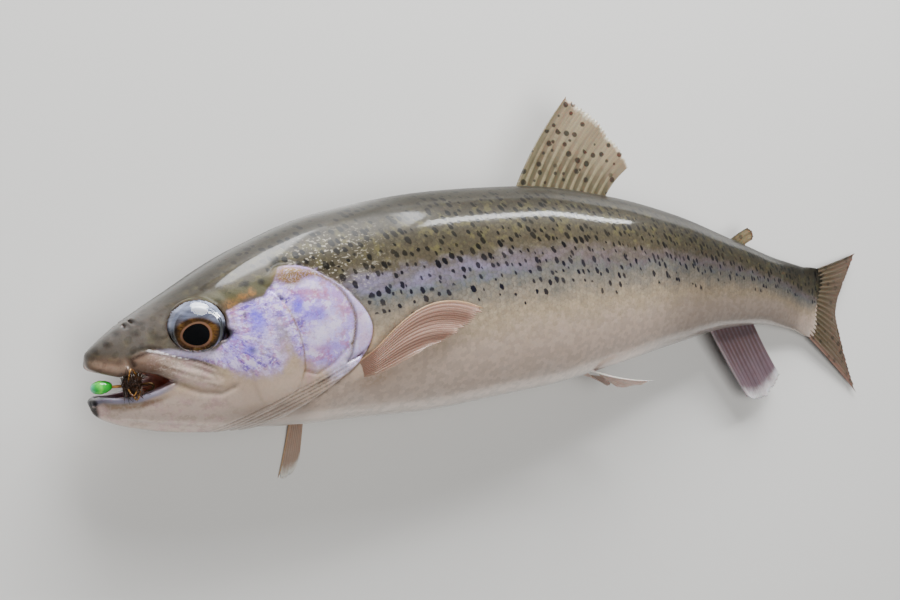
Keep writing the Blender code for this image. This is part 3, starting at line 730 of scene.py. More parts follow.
class Wiring:
    # adds nodes to one tree and joins them up
    def __init__(self, tree):
        self.tree = tree

    def put(self, socket, value):
        # a socket is joined to another, or takes a colour code or a plain value
        if isinstance(value, bpy.types.NodeSocket):
            self.tree.links.new(value, socket)
        elif isinstance(value, str) and value.startswith("#"):
            socket.default_value = linear(value)
        elif value is not None:
            socket.default_value = value

    def fill(self, sockets, values):
        for label, value in values.items():
            self.put(sockets[label], value)

    def add(self, kind, *values, **settings):
        made = self.tree.nodes.new(kind)
        for name, value in settings.items():
            setattr(made, name, value)
        for socket, value in zip(made.inputs, values):
            self.put(socket, value)
        return made

    def math(self, operation, *values, clamp=False):
        return self.add("ShaderNodeMath", *values, operation=operation, use_clamp=clamp).outputs[0]

    def plus(self, a, b):
        return self.math("ADD", a, b)

    def minus(self, a, b):
        return self.math("SUBTRACT", a, b)

    def times(self, first, *others):
        for other in others:
            first = self.math("MULTIPLY", first, other)
        return first

    def scaled(self, value, factor, shift, clamp=False):
        return self.math("MULTIPLY_ADD", value, factor, shift, clamp=clamp)

    def about(self, value, spread):
        # what runs from 0 to 1 is spread evenly about 0
        return self.scaled(value, spread, -spread / 2)

    def length(self, a, b):
        return self.math("SQRT", self.plus(self.times(a, a), self.times(b, b)))

    def step(self, value, low, high, a=0.0, b=1.0):
        ranged = self.add("ShaderNodeMapRange", value, low, high, a, b, interpolation_type="SMOOTHSTEP")
        return ranged.outputs[0]

    def mix(self, factor, a, b, way="MIX"):
        made = self.add("ShaderNodeMix", data_type="RGBA", blend_type=way)
        self.fill(made.inputs, {0: factor, 6: a, 7: b})
        return made.outputs[2]

    def ramp(self, value, stops):
        made = self.add("ShaderNodeValToRGB", value)
        ends = made.color_ramp.elements
        for end, (place, code) in ((ends[0], stops[0]), (ends[1], stops[-1])):
            end.position, end.color = place, linear(code)
        for place, code in stops[1:-1]:
            ends.new(place).color = linear(code)
        return made.outputs[0]

    def noise(self, vector, scale, detail=2.0, roughness=0.5):
        made = self.add("ShaderNodeTexNoise", vector)
        self.fill(made.inputs, {"Scale": scale, "Detail": detail, "Roughness": roughness})
        return made.outputs[0]

    def cells(self, vector, randomness=1.0):
        # flat cells: the distance from a cell's middle, and three chances of its own
        made = self.add("ShaderNodeTexVoronoi", vector, voronoi_dimensions="2D")
        self.fill(made.inputs, {"Scale": 1.0, "Randomness": randomness})
        chances = self.add("ShaderNodeSeparateColor", made.outputs["Color"]).outputs
        return made.outputs["Distance"], chances

    def stretch(self, vector, x, y, z):
        return self.add("ShaderNodeVectorMath", vector, (x, y, z), operation="MULTIPLY").outputs[0]

    def split(self, vector):
        return self.add("ShaderNodeSeparateXYZ", vector).outputs

    def join(self, x, y, z=0.0):
        return self.add("ShaderNodeCombineXYZ", x, y, z).outputs[0]

    def field(self, name, output="Vector"):
        return self.add("ShaderNodeAttribute", attribute_name=name).outputs[output]

    def bump(self, height, distance, strength=1.0):
        made = self.add("ShaderNodeBump")
        self.fill(made.inputs, {"Strength": strength, "Distance": distance * mm, "Height": height})
        return made.outputs[0]


def makeTree(name, kind, inputs, outputs):
    tree = bpy.data.node_groups.new(name, kind)
    for way, rows in (("INPUT", inputs), ("OUTPUT", outputs)):
        for label, sort, *default in rows:
            socket = tree.interface.new_socket(name=label, in_out=way, socket_type=socketKinds[sort])
            if default:
                socket.default_value = default[0]
    nodes = Wiring(tree)
    return nodes, nodes.add("NodeGroupInput").outputs, nodes.add("NodeGroupOutput").inputs


def makeMaterial(name):
    material = bpy.data.materials.new(name)
    material.use_nodes = True
    return material, Wiring(material.node_tree), material.node_tree.nodes["Principled BSDF"].inputs


# ---- the markings, which skin and scales share ----
markings = {
    "bodyTones": ((0.0, "#26231b"), (0.12, "#332e25"), (0.24, "#443d2e"), (0.33, "#544b3c"),
                  (0.40, "#665f54"), (0.49, "#94887a"), (0.57, "#c0a88c"), (0.66, "#d2b8a4"),
                  (0.78, "#d9c1b0"), (0.9, "#ddccc0"), (1.0, "#e0d4cb")),
    "moss": "#6b6338", "band": "#8f83a2", "bandRear": "#836c78", "bandLow": "#5f707c",
    # the lighter end of the stalk is painted light
    "bandShare": 0.40, "bandReach": 0.085, "bandStrength": 0.75, "tailShade": 0.6, "stalkLight": 1.4,
    "spot": "#0d0b0a", "spotLow": "#191724", "spotAlong": 0.43, "spotRound": 0.33, "spotSlant": 0.28,
    # the pale flecks on the nape are painted glints
    "spotSizes": (0.115, 0.345), "spotEdge": 0.06, "scaleRim": "#1c1a14", "fleck": "#dccfba",
    "lilac": "#c2a8f8", "blue": "#6c58ea", "violet": "#5c3aa6", "pink": "#c67f9a", "gold": "#705614",
    "pearl": "#ede0ff", "olive": "#48452c", "amber": "#9c6a36", "soot": "#14120f", "jaw": "#e4cec1",
    # the dark line tone serves both painted shade in the creases and a fine pepper of pigment
    "inside": "#cf917d", "line": "#33251f", "tan": "#8c7058", "lip": "#9f9db8", "bark": "#7f6758",
    # the darker chin is painted shade
    "ash": "#5f5955", "cheekRays": 11.0, "chinShade": 0.72,
}
# the fields that skin and scales carry for the markings, each under its own name in small letters
markingFields = ("Straight", "Unrolled", "Cheek", "Gilt", "Mouth", "Shade", "Snout")


def makeMarkings(values):
    t, given, result = makeTree(
        "troutMarkings", "ShaderNodeTree",
        [(label, "vector") for label in markingFields] + [("Tone", "value", 0.5)],
        (("Colour", "colour"), ("Roughness", "value"), ("Metallic", "value"), ("Height", "value")),
    )
    step, times = t.step, t.times
    straight = given["Straight"]
    fields = [t.split(given[label]) for label in markingFields[1:]]
    (along, run, girth), (lilac, blue, pink), (gold, pearl, density) = fields[:3]
    (inside, jaw, linesAndCreaseShade), (olive, amber, soot), (bark, lip, ash) = fields[3:]

    def lay(colour, rows):
        # one tone after another over the colour, each through its own masks
        for tone, *masks in rows:
            colour = t.mix(times(*masks), colour, values[tone])
        return colour

    def brighten(colour, value, low, high):
        bright = step(value, 0.25, 0.75, low, high)
        return t.mix(1.0, colour, t.join(bright, bright, bright), "MULTIPLY")

    broad = t.noise(straight, 0.11, 3.0)
    patch = t.noise(straight, 0.42, 3.0, 0.6)
    fine = t.noise(straight, 1.3, 3.0, 0.6)
    grain = t.noise(straight, 3.2, 2.0, 0.6)
    mottle = t.noise(straight, 0.3, 4.0, 0.7)
    glint = t.noise(t.stretch(straight, 1.6, 2.2, 2.0), 1.0, 1.0)
    share = t.plus(t.plus(girth, t.about(broad, 0.1)), t.about(patch, 0.12))
    colour = t.ramp(share, values["bodyTones"])
    colour = t.mix(step(girth, 0.5, 0.7, 1.0, 0.3), colour, brighten(colour, fine, 0.86, 1.14))
    upper = step(girth, 0.46, 0.34)
    colour = lay(colour, (("moss", step(patch, 0.5, 0.68), upper, step(girth, 0.1, 0.22), 0.5),))
    # the band along the side, mauve above and blue-grey below
    past = t.minus(share, values["bandShare"])
    uneven = t.noise(t.stretch(straight, 0.16, 0.5, 0.4), 1.0, 3.0)
    band = times(step(t.math("ABSOLUTE", past), values["bandReach"], 0.0), step(along, 52.0, 66.0),
                 step(uneven, 0.3, 0.62, 0.35, 1.0), values["bandStrength"])
    rear = step(along, 80.0, 140.0)
    mauve = t.mix(step(past, -0.02, 0.05), t.mix(rear, values["band"], values["bandRear"]), values["bandLow"])
    colour = t.mix(times(band, step(rear, 0.0, 1.0, 1.0, 0.6)), colour, mauve)
    # darker towards the tail, painted light on the stalk's end, a tone for each scale, painted glints on the
    # nape and painted shade under the chin
    colour = brighten(colour, step(along, 120.0, 225.0), 1.0, values["tailShade"])
    # painted light: the stalk's end is lightened where its shape turns it away from the lamps
    colour = brighten(colour, step(along, 243.0, 262.0), 1.0, values["stalkLight"])
    colour = brighten(colour, given["Tone"], 0.93, 1.07)
    # painted glints: pale flecks on the nape stand in for the sparkle of the wet scales
    nape = times(step(along, 80.0, 54.0), step(along, 44.0, 50.0), upper, step(girth, 0.12, 0.22))
    fleck = t.noise(t.stretch(straight, 1.1, 1.9, 1.9), 1.0, 1.0)
    colour = lay(colour, (("fleck", step(fleck, 0.57, 0.68), nape, 0.5),))
    # painted shade: the underside of the chin is darkened as if turned away from the light
    chin = times(step(girth, 0.68, 0.84), step(along, 58.0, 40.0))
    colour = brighten(colour, chin, 1.0, values["chinShade"])
    # the head: lilac and blue cheeks streaked from the eye, with pink, pearl, gold and olive
    ahead, above = (t.minus(part, middle) for part, middle in zip(t.split(straight), face["eye"]))
    turn = times(t.math("ARCTAN2", above, ahead), values["cheekRays"])
    streaks = t.noise(t.join(turn, times(t.length(ahead, above), 0.3)), 1.0, 4.0, 0.7)
    ragged = t.plus(lilac, t.about(mottle, 1.1))
    lilac = times(step(ragged, 0.1, 0.9), step(lilac, 0.0, 0.5))
    front = step(along, 50.0, 45.0, 0.4, 1.0)
    colour = lay(colour, (
        ("lilac", lilac, step(fine, 0.1, 0.6, 0.8, 1.0)),
        ("tan", lilac, step(mottle, 0.46, 0.34), 0.6),
        ("pink", lilac, step(patch, 0.5, 0.62), 0.62),
        ("violet", lilac, step(streaks, 0.48, 0.38), front, 0.8),
        ("pearl", lilac, step(streaks, 0.52, 0.58), 0.9),
        # painted glints: pale pearl flecks where the glint noise peaks
        ("pearl", lilac, step(glint, 0.60, 0.66), front, 0.8),
        ("tan", lilac, step(glint, 0.36, 0.30), front, 0.5),
        ("blue", blue, step(fine, 0.25, 0.6, 0.6, 1.0)),
        ("violet", blue, step(fine, 0.42, 0.34), 0.6),
        ("pink", pink, step(fine, 0.3, 0.6, 0.6, 1.0)),
        ("pearl", pearl, step(fine, 0.28, 0.55, 0.45, 1.0)),
        ("ash", ash, step(mottle, 0.3, 0.6, 0.75, 1.0)),
        ("jaw", jaw, step(mottle, 0.3, 0.6, 0.85, 1.0)),
        ("bark", bark, step(fine, 0.25, 0.6, 0.7, 1.0)),
        ("tan", jaw, step(patch, 0.52, 0.4), 0.3),
        ("pink", jaw, step(mottle, 0.5, 0.62), 0.3),
        # painted glints: pale flecks on the jaw
        ("jaw", jaw, step(glint, 0.56, 0.66), 0.7),
        ("olive", olive, step(fine, 0.2, 0.6, 0.7, 1.0)),
        ("amber", amber, step(fine, 0.35, 0.6, 0.25, 1.0)),
        ("gold", gold, step(grain, 0.25, 0.6, 0.5, 1.0)),
    ))
    # the spots sit in uneven cells of the unrolled skin
    slant = times(t.math("ABSOLUTE", run), -values["spotSlant"])
    spotX, spotY = times(t.plus(along, slant), values["spotAlong"]), times(run, values["spotRound"])
    wobble = t.add("ShaderNodeTexNoise", straight)
    t.fill(wobble.inputs, {"Scale": 0.7})
    shove = t.add("ShaderNodeVectorMath", wobble.outputs[1], (0.5, 0.5, 0.5), operation="SUBTRACT").outputs[0]
    shove = t.stretch(shove, 0.3, 0.3, 0.0)
    spotPlace = t.add("ShaderNodeVectorMath", t.join(spotX, spotY), shove, operation="ADD").outputs[0]
    away, chances = t.cells(spotPlace, 0.9)
    small, large = values["spotSizes"]
    size = t.plus(t.scaled(chances[0], large - small, small), t.about(fine, 0.2))
    inSpot = step(t.minus(away, size), values["spotEdge"], -values["spotEdge"])
    inSpot = times(inSpot, step(t.minus(density, chances[1]), 0.0, 0.06), step(along, 26.0, 44.0, 0.22, 0.95),
                   t.scaled(chances[2], 0.2, 0.85))
    colour = t.mix(inSpot, colour, t.mix(step(girth, 0.30, 0.44), values["spot"], values["spotLow"]))
    # the mouth, dark line marks that are mostly painted shade in folds, pits and grooves, and a fine pepper
    # of pigment
    colour = lay(colour, (
        ("inside", inside),
        ("lip", lip),
        ("line", linesAndCreaseShade, step(grain, 0.2, 0.6, 0.7, 1.0)),
        ("soot", soot, step(fine, 0.25, 0.5, 0.6, 1.0)),
        ("line", step(grain, 0.38, 0.28), step(girth, 0.75, 0.5), 0.45),
    ))
    shine = times(step(girth, 0.3, 0.55, 0.05, 0.28), step(inside, 0.5, 0.0))
    t.fill(result, {
        "Colour": colour, "Roughness": t.scaled(fine, 0.22, 0.22),
        "Metallic": t.math("MAXIMUM", shine, times(lilac, 0.16)),
        "Height": t.plus(times(fine, 0.6), times(grain, 0.4)),
    })
    return t.tree


markingsGroup = makeMarkings(markings)


def wetMaterial(name, bumpDepth, coatRoughness=0.07, isScale=False):
    # skin or scales under a film of water
    material, t, shader = makeMaterial(name)
    marks = t.add("ShaderNodeGroup", node_tree=markingsGroup)
    for label in markingFields:
        t.put(marks.inputs[label], t.field(label.lower()))
    colour = marks.outputs["Colour"]
    if isScale:
        t.put(marks.inputs["Tone"], t.field("tone", "Fac"))
        rim = t.times(t.step(t.field("rim", "Fac"), 0.5, 1.0), 0.2)
        colour = t.mix(rim, colour, markings["scaleRim"])
    t.fill(shader, {
        "Base Color": colour, "Roughness": marks.outputs["Roughness"], "Metallic": marks.outputs["Metallic"],
        "Normal": t.bump(marks.outputs["Height"], bumpDepth), "Coat Weight": t.field("film", "Fac"),
        "Coat Roughness": coatRoughness, "Coat IOR": 1.36, "IOR": 1.4, "Specular IOR Level": 0.25,
        "Subsurface Weight": 0.12, "Subsurface Scale": 0.0015,
    })
    return material


# soft patches on the head: strength, distance from the snout, height, half length, half height,
# turn and sharpness
headMarks = {
    "underEye": ((1.0, 20.0, -0.6, 7.5, 1.7, -0.25, 3),),
    "greyer": ((0.55, 42.2, -1.5, 2.4, 9.0, 0.12, 4), (0.6, 45.4, -6.6, 2.8, 3.2, 0.0, 3)),
    "blue": ((0.9, 36.3, 5.6, 2.2, 3.4, 0.1, 3), (0.8, 46.6, 7.4, 1.3, 2.4, -0.4, 3),
             (0.75, 52.4, 4.4, 2.4, 1.4, 0.0, 3), (0.7, 33.9, -0.9, 1.8, 1.2, -0.3, 3),
             (0.35, 30.6, 1.6, 2.2, 3.6, 0.0, 2), (0.5, 48.6, 5.0, 2.0, 3.0, 0.2, 2),
             (0.4, 54.5, -3.5, 2.6, 1.4, 0.4, 2)),
    "pink": ((0.8, 50.4, 9.9, 4.6, 0.9, -0.16, 3), (0.5, 57.2, 6.5, 1.4, 3.4, 0.3, 2),
             (0.6, 51.0, -3.4, 3.0, 1.0, -0.2, 2), (0.4, 47.6, -8.8, 1.0, 2.4, 0.0, 2),
             (0.5, 62.4, 1.0, 1.2, 4.4, 0.1, 2)),
    "gold": ((1.3, 46.6, 14.4, 3.8, 2.3, -0.05, 4), (0.7, 51.2, 13.9, 2.6, 0.8, -0.3, 3)),
    # the first pearl patch, in the middle of the gill cover, is a painted highlight on its pearly colour
    "pearl": ((0.98, 50.8, -0.2, 3.2, 2.5, 0.5, 3), (0.6, 55.2, 2.0, 2.6, 4.0, 0.0, 2),
              (0.75, 50.4, 11.9, 4.0, 1.0, -0.3, 3), (0.4, 38.5, 0.5, 2.6, 4.0, 0.0, 2),
              (0.8, 16.8, 1.3, 4.4, 0.7, -0.2, 3), (0.9, 23.6, -0.3, 4.4, 1.0, -0.12, 3),
              (0.6, 57.5, -6.5, 2.2, 1.4, 0.5, 3), (0.9, 55.6, -9.2, 3.0, 1.9, 0.4, 3),
              (0.4, 31.0, 5.0, 1.6, 1.4, 0.0, 2)),
    "snoutBark": ((0.9, 5.6, -0.6, 6.6, 2.5, -0.22, 4),),
    "snoutAsh": ((0.75, 10.5, 7.0, 9.5, 5.0, 0.45, 4),),
    "jawTip": ((0.5, 1.5, -7.3, 2.4, 0.8, 0.0, 3),),
    "boneFold": ((0.5, 22.5, -3.2, 4.4, 0.5, -0.5, 3),),
    "hinge": ((1.0, 55.6, -9.4, 3.0, 1.9, 0.4, 3),),
    "olive": ((0.95, 31.5, 12.2, 6.5, 1.5, 0.06, 4), (0.9, 39.0, 13.2, 4.5, 1.8, 0.2, 4),
              (0.8, 45.2, 17.4, 2.0, 1.6, 0.3, 3), (0.6, 6.5, -8.3, 5.0, 0.6, -0.06, 4)),
    "amber": ((0.7, 31.6, 9.6, 1.7, 1.3, -0.5, 3), (0.6, 34.6, 11.4, 1.6, 0.8, 0.2, 3),
              (0.7, 36.8, 12.0, 0.8, 1.0, 0.0, 3), (0.5, 31.0, 6.4, 0.9, 1.6, 0.0, 3),
              (0.3, 65.5, -13.8, 5.5, 2.0, 0.15, 3)),
    "soot": ((0.95, 44.7, 17.9, 1.4, 0.9, 0.5, 4), (0.9, 35.9, 14.0, 1.0, 0.8, 0.0, 4),
             (0.95, 39.6, 13.9, 0.9, 0.8, 0.0, 4), (0.9, 43.0, 9.7, 1.3, 0.6, -0.7, 4),
             (0.7, 33.8, 7.1, 0.45, 1.0, -0.3, 4), (0.6, 34.2, -1.0, 0.9, 0.6, -0.4, 3),
             (0.6, 4.7, 5.0, 0.8, 0.7, 0.0, 3), (0.55, 7.3, 7.3, 0.9, 0.8, 0.0, 3),
             (0.45, 10.3, 6.6, 0.9, 0.8, 0.0, 3), (0.4, 13.9, 5.8, 1.0, 0.9, 0.0, 3),
             (0.45, 12.0, 8.6, 1.0, 0.7, 0.0, 3), (0.5, 2.2, 3.6, 0.6, 0.8, 0.0, 3),
             (0.9, 29.9, 3.9, 1.5, 1.1, 0.1, 3)),
}
headLines = {
    "cheekTop": ((26, 7.5), (33, 9.4), (39, 10.4), (42, 13.0), (45, 17.0)),
    "upperBone": ((8.6, -0.2), (8.3, 1.3), (12.1, 2.4), (17.9, 0.1), (22.1, -1.4), (25.6, -3.6),
                  (27.2, -5.6)),
    "finRoot": ((57.4, -8.3), (60.5, -7.3), (63.5, -5.2)),
}
# where the wet sheen on the head ends, as distance from the snout and share of the girth, and how much
# thinner the film is beyond it and over single marks
filmShape = {
    "sheenEnd": ((18.0, 0.13), (24.0, 0.165), (33.0, 0.2), (42.0, 0.19), (48.0, 0.16), (55.0, 0.13),
                 (66.0, 0.1), (80.0, 0.08)),
    "thinning": 0.95, "overGold": 0.8, "overSoot": 0.6, "overOlive": 0.8,
}


def patches(name, s, y):
    # the soft patches of one name: full in the middle and nothing well outside
    total = np.zeros(np.shape(s))
    for strength, place, level, wide, tall, turn, power in headMarks[name]:
        ds, dy = s - place, y - level
        along, across = ds * cos(turn) + dy * sin(turn), dy * cos(turn) - ds * sin(turn)
        total += strength * np.exp(-np.hypot(along / wide, across / tall) ** power)
    return total


def between(*fields):
    return np.clip(np.stack(fields, axis=1), 0, 1)


def markPiece(mesh, points):
    # the fields that the markings read, from the points of the straight fish
    s, y, z = points.T
    share = shareAt(s, bodyAngle(s, y, z))
    run = share * halfGirthAt(s) * np.where(z < 0, -1, 1)
    setField(mesh, "straight", points)
    lowShade = 1 - 0.15 * ease(225, 262, s)
    setField(mesh, "unrolled", np.stack([s, run, share * lowShade], axis=1))
    onSide = ease(0.1, 0.28, np.abs(z) / widthAt(s))
    flap = outlineDistance(s, y, gillFlapOutline)
    plate = outlineDistance(s, y, opercleOutline)
    preopercle = outlineDistance(s, y, face["preopercle"])
    bone = outlineDistance(s, y, maxillaOutline)
    gape = outlineDistance(s, y, mouthOutline)
    ahead, up, out = eyePlace(s, y, z)
    lid = lidDistance(ahead, up)
    onHead = ease(0.3, -0.4, flap) * onSide
    onBone = ease(0.5, -0.8, bone) * onSide

    # lilac, blue and pink on the cheek
    top = np.interp(s, *zip(*headLines["cheekTop"]))
    upper = ease(1.2, -1.2, y - top) * ease(24, 30, s + 0.6 * (y + 2))
    lower = ease(-11.5, -2.5, y + 0.1 * (s - 40))
    cheek = onHead * upper * lower * ease(0.3, 1.2, lid)
    underEye = patches("underEye", s, y) * onSide * ease(-0.2, 0.5, bone)
    lilac = (cheek * 0.95 + underEye * 0.8) * (1 - patches("greyer", s, y))
    blue, pink = (np.clip(patches(name, s, y), 0, 1) * onHead for name in ("blue", "pink"))
    setField(mesh, "cheek", between(lilac, blue, pink))

    # gold along the bones' edges, pearl, and how many spots there are
    gold = patches("gold", s, y)
    gold += 0.95 * bump(preopercle - 0.1, 0.34) * ease(9.5, 6.5, y) * ease(-12, -6, y)
    gold += 0.95 * bump(plate - 0.1, 0.45) * ease(46, 52, s) * ease(-8, -3, y)
    gold += 0.4 * bump(pathDistance(s, y, face["suture"]), 0.35)
    gold = np.clip(gold, 0, 1) * onHead
    pearl = patches("pearl", s, y)
    pearl += 0.55 * ease(-0.3, 0.4, plate) * ease(0.1, -0.4, flap) * ease(52, 57, s)
    density = 0.92 * ease(0.58, 0.40, share) * ease(-0.1, 0.5, flap)
    density = np.maximum(density, 0.5 * ease(0.30, 0.22, share) * (s < 50))
    density *= ease(0.9, 1.0, 1 - 0.9 * onHead * (s > 26))
    setField(mesh, "gilt", between(gold, np.clip(pearl, 0, 1) * onHead, density))

    # brown on the snout, the grey lip and the ashen top of the snout
    bark = patches("snoutBark", s, y) + 0.85 * onBone * ease(21, 10, s)
    bark += 0.35 * onBone * ease(0.5, 0.9, np.sin(2.2 * (y + 0.55 * s)))
    onLip = ease(-0.6, 0.1, gape) * ease(1.5, 0.8, gape) * (y < -4.4) * ease(19, 12, s)
    setField(mesh, "snout", between(bark, 0.85 * onLip, patches("snoutAsh", s, y)))

    # inside the mouth, the pale jaw, and dark line marks: mostly painted shade in the relief's folds, grooves
    # and pits and in the lid's crease, partly the fish's own dark edges
    inner = bodyDistance(s, y, z, -bodyShape["skinInset"])
    outsideEye = ease(6.9, 7.1, np.hypot(ahead, up) + 10 * (y < 0))
    inMouth = ease(-0.35, -2.6, inner) * (s < 39) * outsideEye
    jaw = 0.8 * ease(-5.5, -8.5, y + 0.1 * s) * ease(36, 22, s)
    jaw = np.maximum(jaw, 0.8 * onBone * ease(31, 21, s) * ease(9, 19, s)) * (1 - 0.6 * onLip)
    linesAndCreaseShade = 0.95 * bump(pathDistance(s, y, headLines["upperBone"]), 0.46) * ease(28, 24, s)
    linesAndCreaseShade += patches("boneFold", s, y)
    linesAndCreaseShade += 0.7 * bump(flap - 0.3, 0.3) * ease(42, 50, s)
    linesAndCreaseShade += 0.4 * bump(pathDistance(s, y, face["jawFold"]), 0.45)
    linesAndCreaseShade += 0.7 * bump(plate - 0.55, 0.4) * ease(47, 53, s)
    linesAndCreaseShade += 0.7 * bump(pathDistance(s, y, headLines["finRoot"]), 0.4)
    for place, level, reach in face["nostrils"]:
        linesAndCreaseShade += 0.9 * bump(np.hypot(s - place, y - level), reach)
    linesAndCreaseShade = linesAndCreaseShade * onSide + 0.85 * bump(lid - 0.05, 0.3) * (out > -5)
    linesAndCreaseShade += 0.28 * bump(gape - 0.5, 0.45) * (s < 17)
    rays, rayed = gillRays(s, y, flap)
    # painted shade in the grooves between the gill rays
    linesAndCreaseShade += 0.5 * ease(-0.2, -0.9, np.cos(2 * pi * rays)) * rayed
    linesAndCreaseShade *= 1 - 0.75 * patches("hinge", s, y)
    setField(mesh, "mouth", between(inMouth, jaw, linesAndCreaseShade))

    # olive over the cheek and along the jaw, amber behind the eye, and single dark marks
    jawLine = bump(gape - 2.2, 0.6) * (y < -5) * ease(17, 11, s) * ease(1.5, 3.5, s)
    olive = (patches("olive", s, y) + 0.5 * jawLine) * onSide
    amber = (patches("amber", s, y) + 0.35 * jawLine) * onSide
    tip = ease(1.1, 0.3, s + 0.2 * (y + 7.2)) * (y < -5) + patches("jawTip", s, y)
    soot = patches("soot", s, y) * onSide + 0.95 * np.clip(tip, 0, 1)
    setField(mesh, "shade", between(olive, amber, soot))

    # the film of water is thin below the sheen of the head, along the back's ridge and beyond it
    sheenEnd = np.interp(s, *zip(*filmShape["sheenEnd"]))
    dull = ease(0.0, 0.02, share - sheenEnd) * ease(0.33, 0.27, share) * ease(84, 76, s)
    beyond = ease(0.5, -1.0, run) * ease(0.3, 0.2, share)
    ridge = ease(0.16, 0.1, share) * ease(72, 86, s)
    film = 1 - filmShape["thinning"] * np.maximum(np.maximum(dull, beyond), ridge)
    for mask, name in ((gold, "overGold"), (soot, "overSoot"), (olive, "overOlive")):
        film *= 1 - filmShape[name] * np.clip(mask, 0, 1)
    setField(mesh, "film", film)


skin = buildSkin()
markPiece(skin.data, meshPoints(skin.data))
layDown(skin)
fleshNodes = ("head", "lower_jaw", "maxilla_left", "maxilla_right", "gill_cover_left", "gill_cover_right",
              "trunk", "tail_stalk")
finishPiece(skin, wetMaterial("wetSkin", 0.05), "body_skin", *fleshNodes)


# ---- Geometry Nodes: one blank on every point of a carrier ----
def makeInstanceTree(name, inputs, layOut):
    # layOut gives each copy of the blank its rotation and scale
    shared = (("Geometry", "geometry"), ("Blank", "object"), ("Material", "material"))
    t, given, result = makeTree(name, "GeometryNodeTree", (*shared, *inputs), (("Geometry", "geometry"),))
    rotation, scale = layOut(t, given)
    blank = t.add("GeometryNodeObjectInfo")
    t.put(blank.inputs["Object"], given["Blank"])
    copies = t.add("GeometryNodeInstanceOnPoints")
    t.fill(copies.inputs, {"Points": given["Geometry"], "Instance": blank.outputs["Geometry"],
                           "Rotation": rotation, "Scale": scale})
    real = t.add("GeometryNodeRealizeInstances", copies.outputs[0])
    paint = t.add("GeometryNodeSetMaterial")
    t.fill(paint.inputs, {"Geometry": real.outputs[0], "Material": given["Material"]})
    t.put(result[0], paint.outputs[0])
    return t.tree


def carried(t, name, kind):
    # a field that the carrier's points bring along
    made = t.add("GeometryNodeInputNamedAttribute", data_type=kind)
    made.inputs["Name"].default_value = name
    return [socket for socket in made.outputs if socket.enabled][0]


def grow(carrier, tree, name, inputs):
    # run a tree on its carrier and keep the result as a plain mesh
    modifier = carrier.modifiers.new("grow", "NODES")
    modifier.node_group = tree
    for item in tree.interface.items_tree:
        if item.in_out == "INPUT" and item.name in inputs:
            modifier[item.identifier] = inputs[item.name]
    ready = bpy.context.evaluated_depsgraph_get()
    mesh = bpy.data.meshes.new_from_object(carrier.evaluated_get(ready), depsgraph=ready)
    mesh.name = name
    bpy.data.objects.remove(carrier, do_unlink=True)
    return makeObject(name, mesh)


# ---- scales: laid out on the unrolled flank, then wrapped round the body ----
# zones: from this distance on, so many scales go round the whole fish
scaleLayout = {
    "pitch": 1.45, "length": 2.9, "width": 1.75, "lift": 0.11, "seed": 7, "turnSpread": 0.07,
    "zones": ((47.0, 116), (150.0, 98), (184.0, 78), (212.0, 60), (238.0, 50)), "end": 261.5,
    "nape": ((14.0, 44.0), (16.0, 46.0), (19.0, 48.0), (22.9, 55.0), (25.7, 64.0), (28.0, 72.0)),
    "rearShrink": 0.25, "rootSpread": 0.06, "overlapAcross": 1.12, "blankWidth": 1.3, "sink": 0.01,
    "bakeStart": 40.0, "bakeLength": 226.0, "bakeMargin": 0.01, "bakePatch": 0.003,
}


def makeScaleBlank():
    # one scale: a thin leaf with a round rear edge, rooted at 0 and lying towards +x
    half = ((0.0, 0.3), (0.45, 0.5), (0.78, 0.42), (0.95, 0.2))
    outline = [(x, -y) for x, y in half] + [(1.0, 0.0)] + list(half[::-1])
    points = [(x, y, x - 0.3 * (2 * y) ** 2 * x) for x, y in outline]
    points += [(0.6, 0.0, 0.66), (0.6, 0.0, 0.1)]
    count = len(outline)
    faces = []
    for k in range(count):
        faces.append((k, (k + 1) % count, count))
        faces.append(((k + 1) % count, k, count + 1))
    mesh = makeMesh("scaleBlank", points, faces)
    # the rim stays crisp, so the top keeps the light of the body it lies on
    for edge in mesh.edges:
        edge.use_edge_sharp = max(edge.vertices) < count
    return makeObject("scaleBlank", mesh)


def scaleRoots(side):
    values = scaleLayout
    rng = np.random.default_rng(values["seed"] + (side > 0))
    rows = []
    s, odd = values["zones"][0][0], 0
    while s < values["end"]:
        count = [rowCount for start, rowCount in values["zones"] if s >= start][-1] // 2
        share = (np.arange(count) + 0.5 * odd + 0.25) / count
        shrink = 1 - values["rearShrink"] * ease(200, 255, s)
        ring = np.stack([np.full(count, s), share, np.full(count, count), np.full(count, shrink)], axis=1)
        rows.append(ring[share < 1])
        s += values["pitch"] * shrink
        odd = 1 - odd
    roots = np.concatenate(rows)
    roots[:, 0] += rng.normal(0, values["rootSpread"], len(roots))
    s = roots[:, 0]
    y = bodyPoint(s, angleAt(s, roots[:, 1]))[:, 1]
    behindHead = (outlineDistance(s, y, gillFlapOutline) > 0.5) & (s > np.interp(y, *zip(*values["nape"])))
    clearOfCover = (s > 60) | (y > 8) | (y < -13)
    clearOfFin = outlineDistance(s, y, face["pectoralRoot"]) > 0.3
    return roots[behindHead & clearOfCover & clearOfFin], rng


def layScales(t, given):
    size = t.join(given["Length"], given["Width"], given["Lift"])
    own = carried(t, "ownSize", "FLOAT_VECTOR")
    scale = t.add("ShaderNodeVectorMath", size, own, operation="MULTIPLY").outputs[0]
    turn = t.add("FunctionNodeRandomValue", data_type="FLOAT")
    low, high = [socket for socket in turn.inputs if socket.type == "VALUE" and socket.enabled]
    t.put(low, t.times(given["Turn Spread"], -1.0))
    t.put(high, given["Turn Spread"])
    t.put(turn.inputs["Seed"], given["Seed"])
    chance = [socket for socket in turn.outputs if socket.enabled][0]
    return t.join(0.0, 0.0, chance), scale


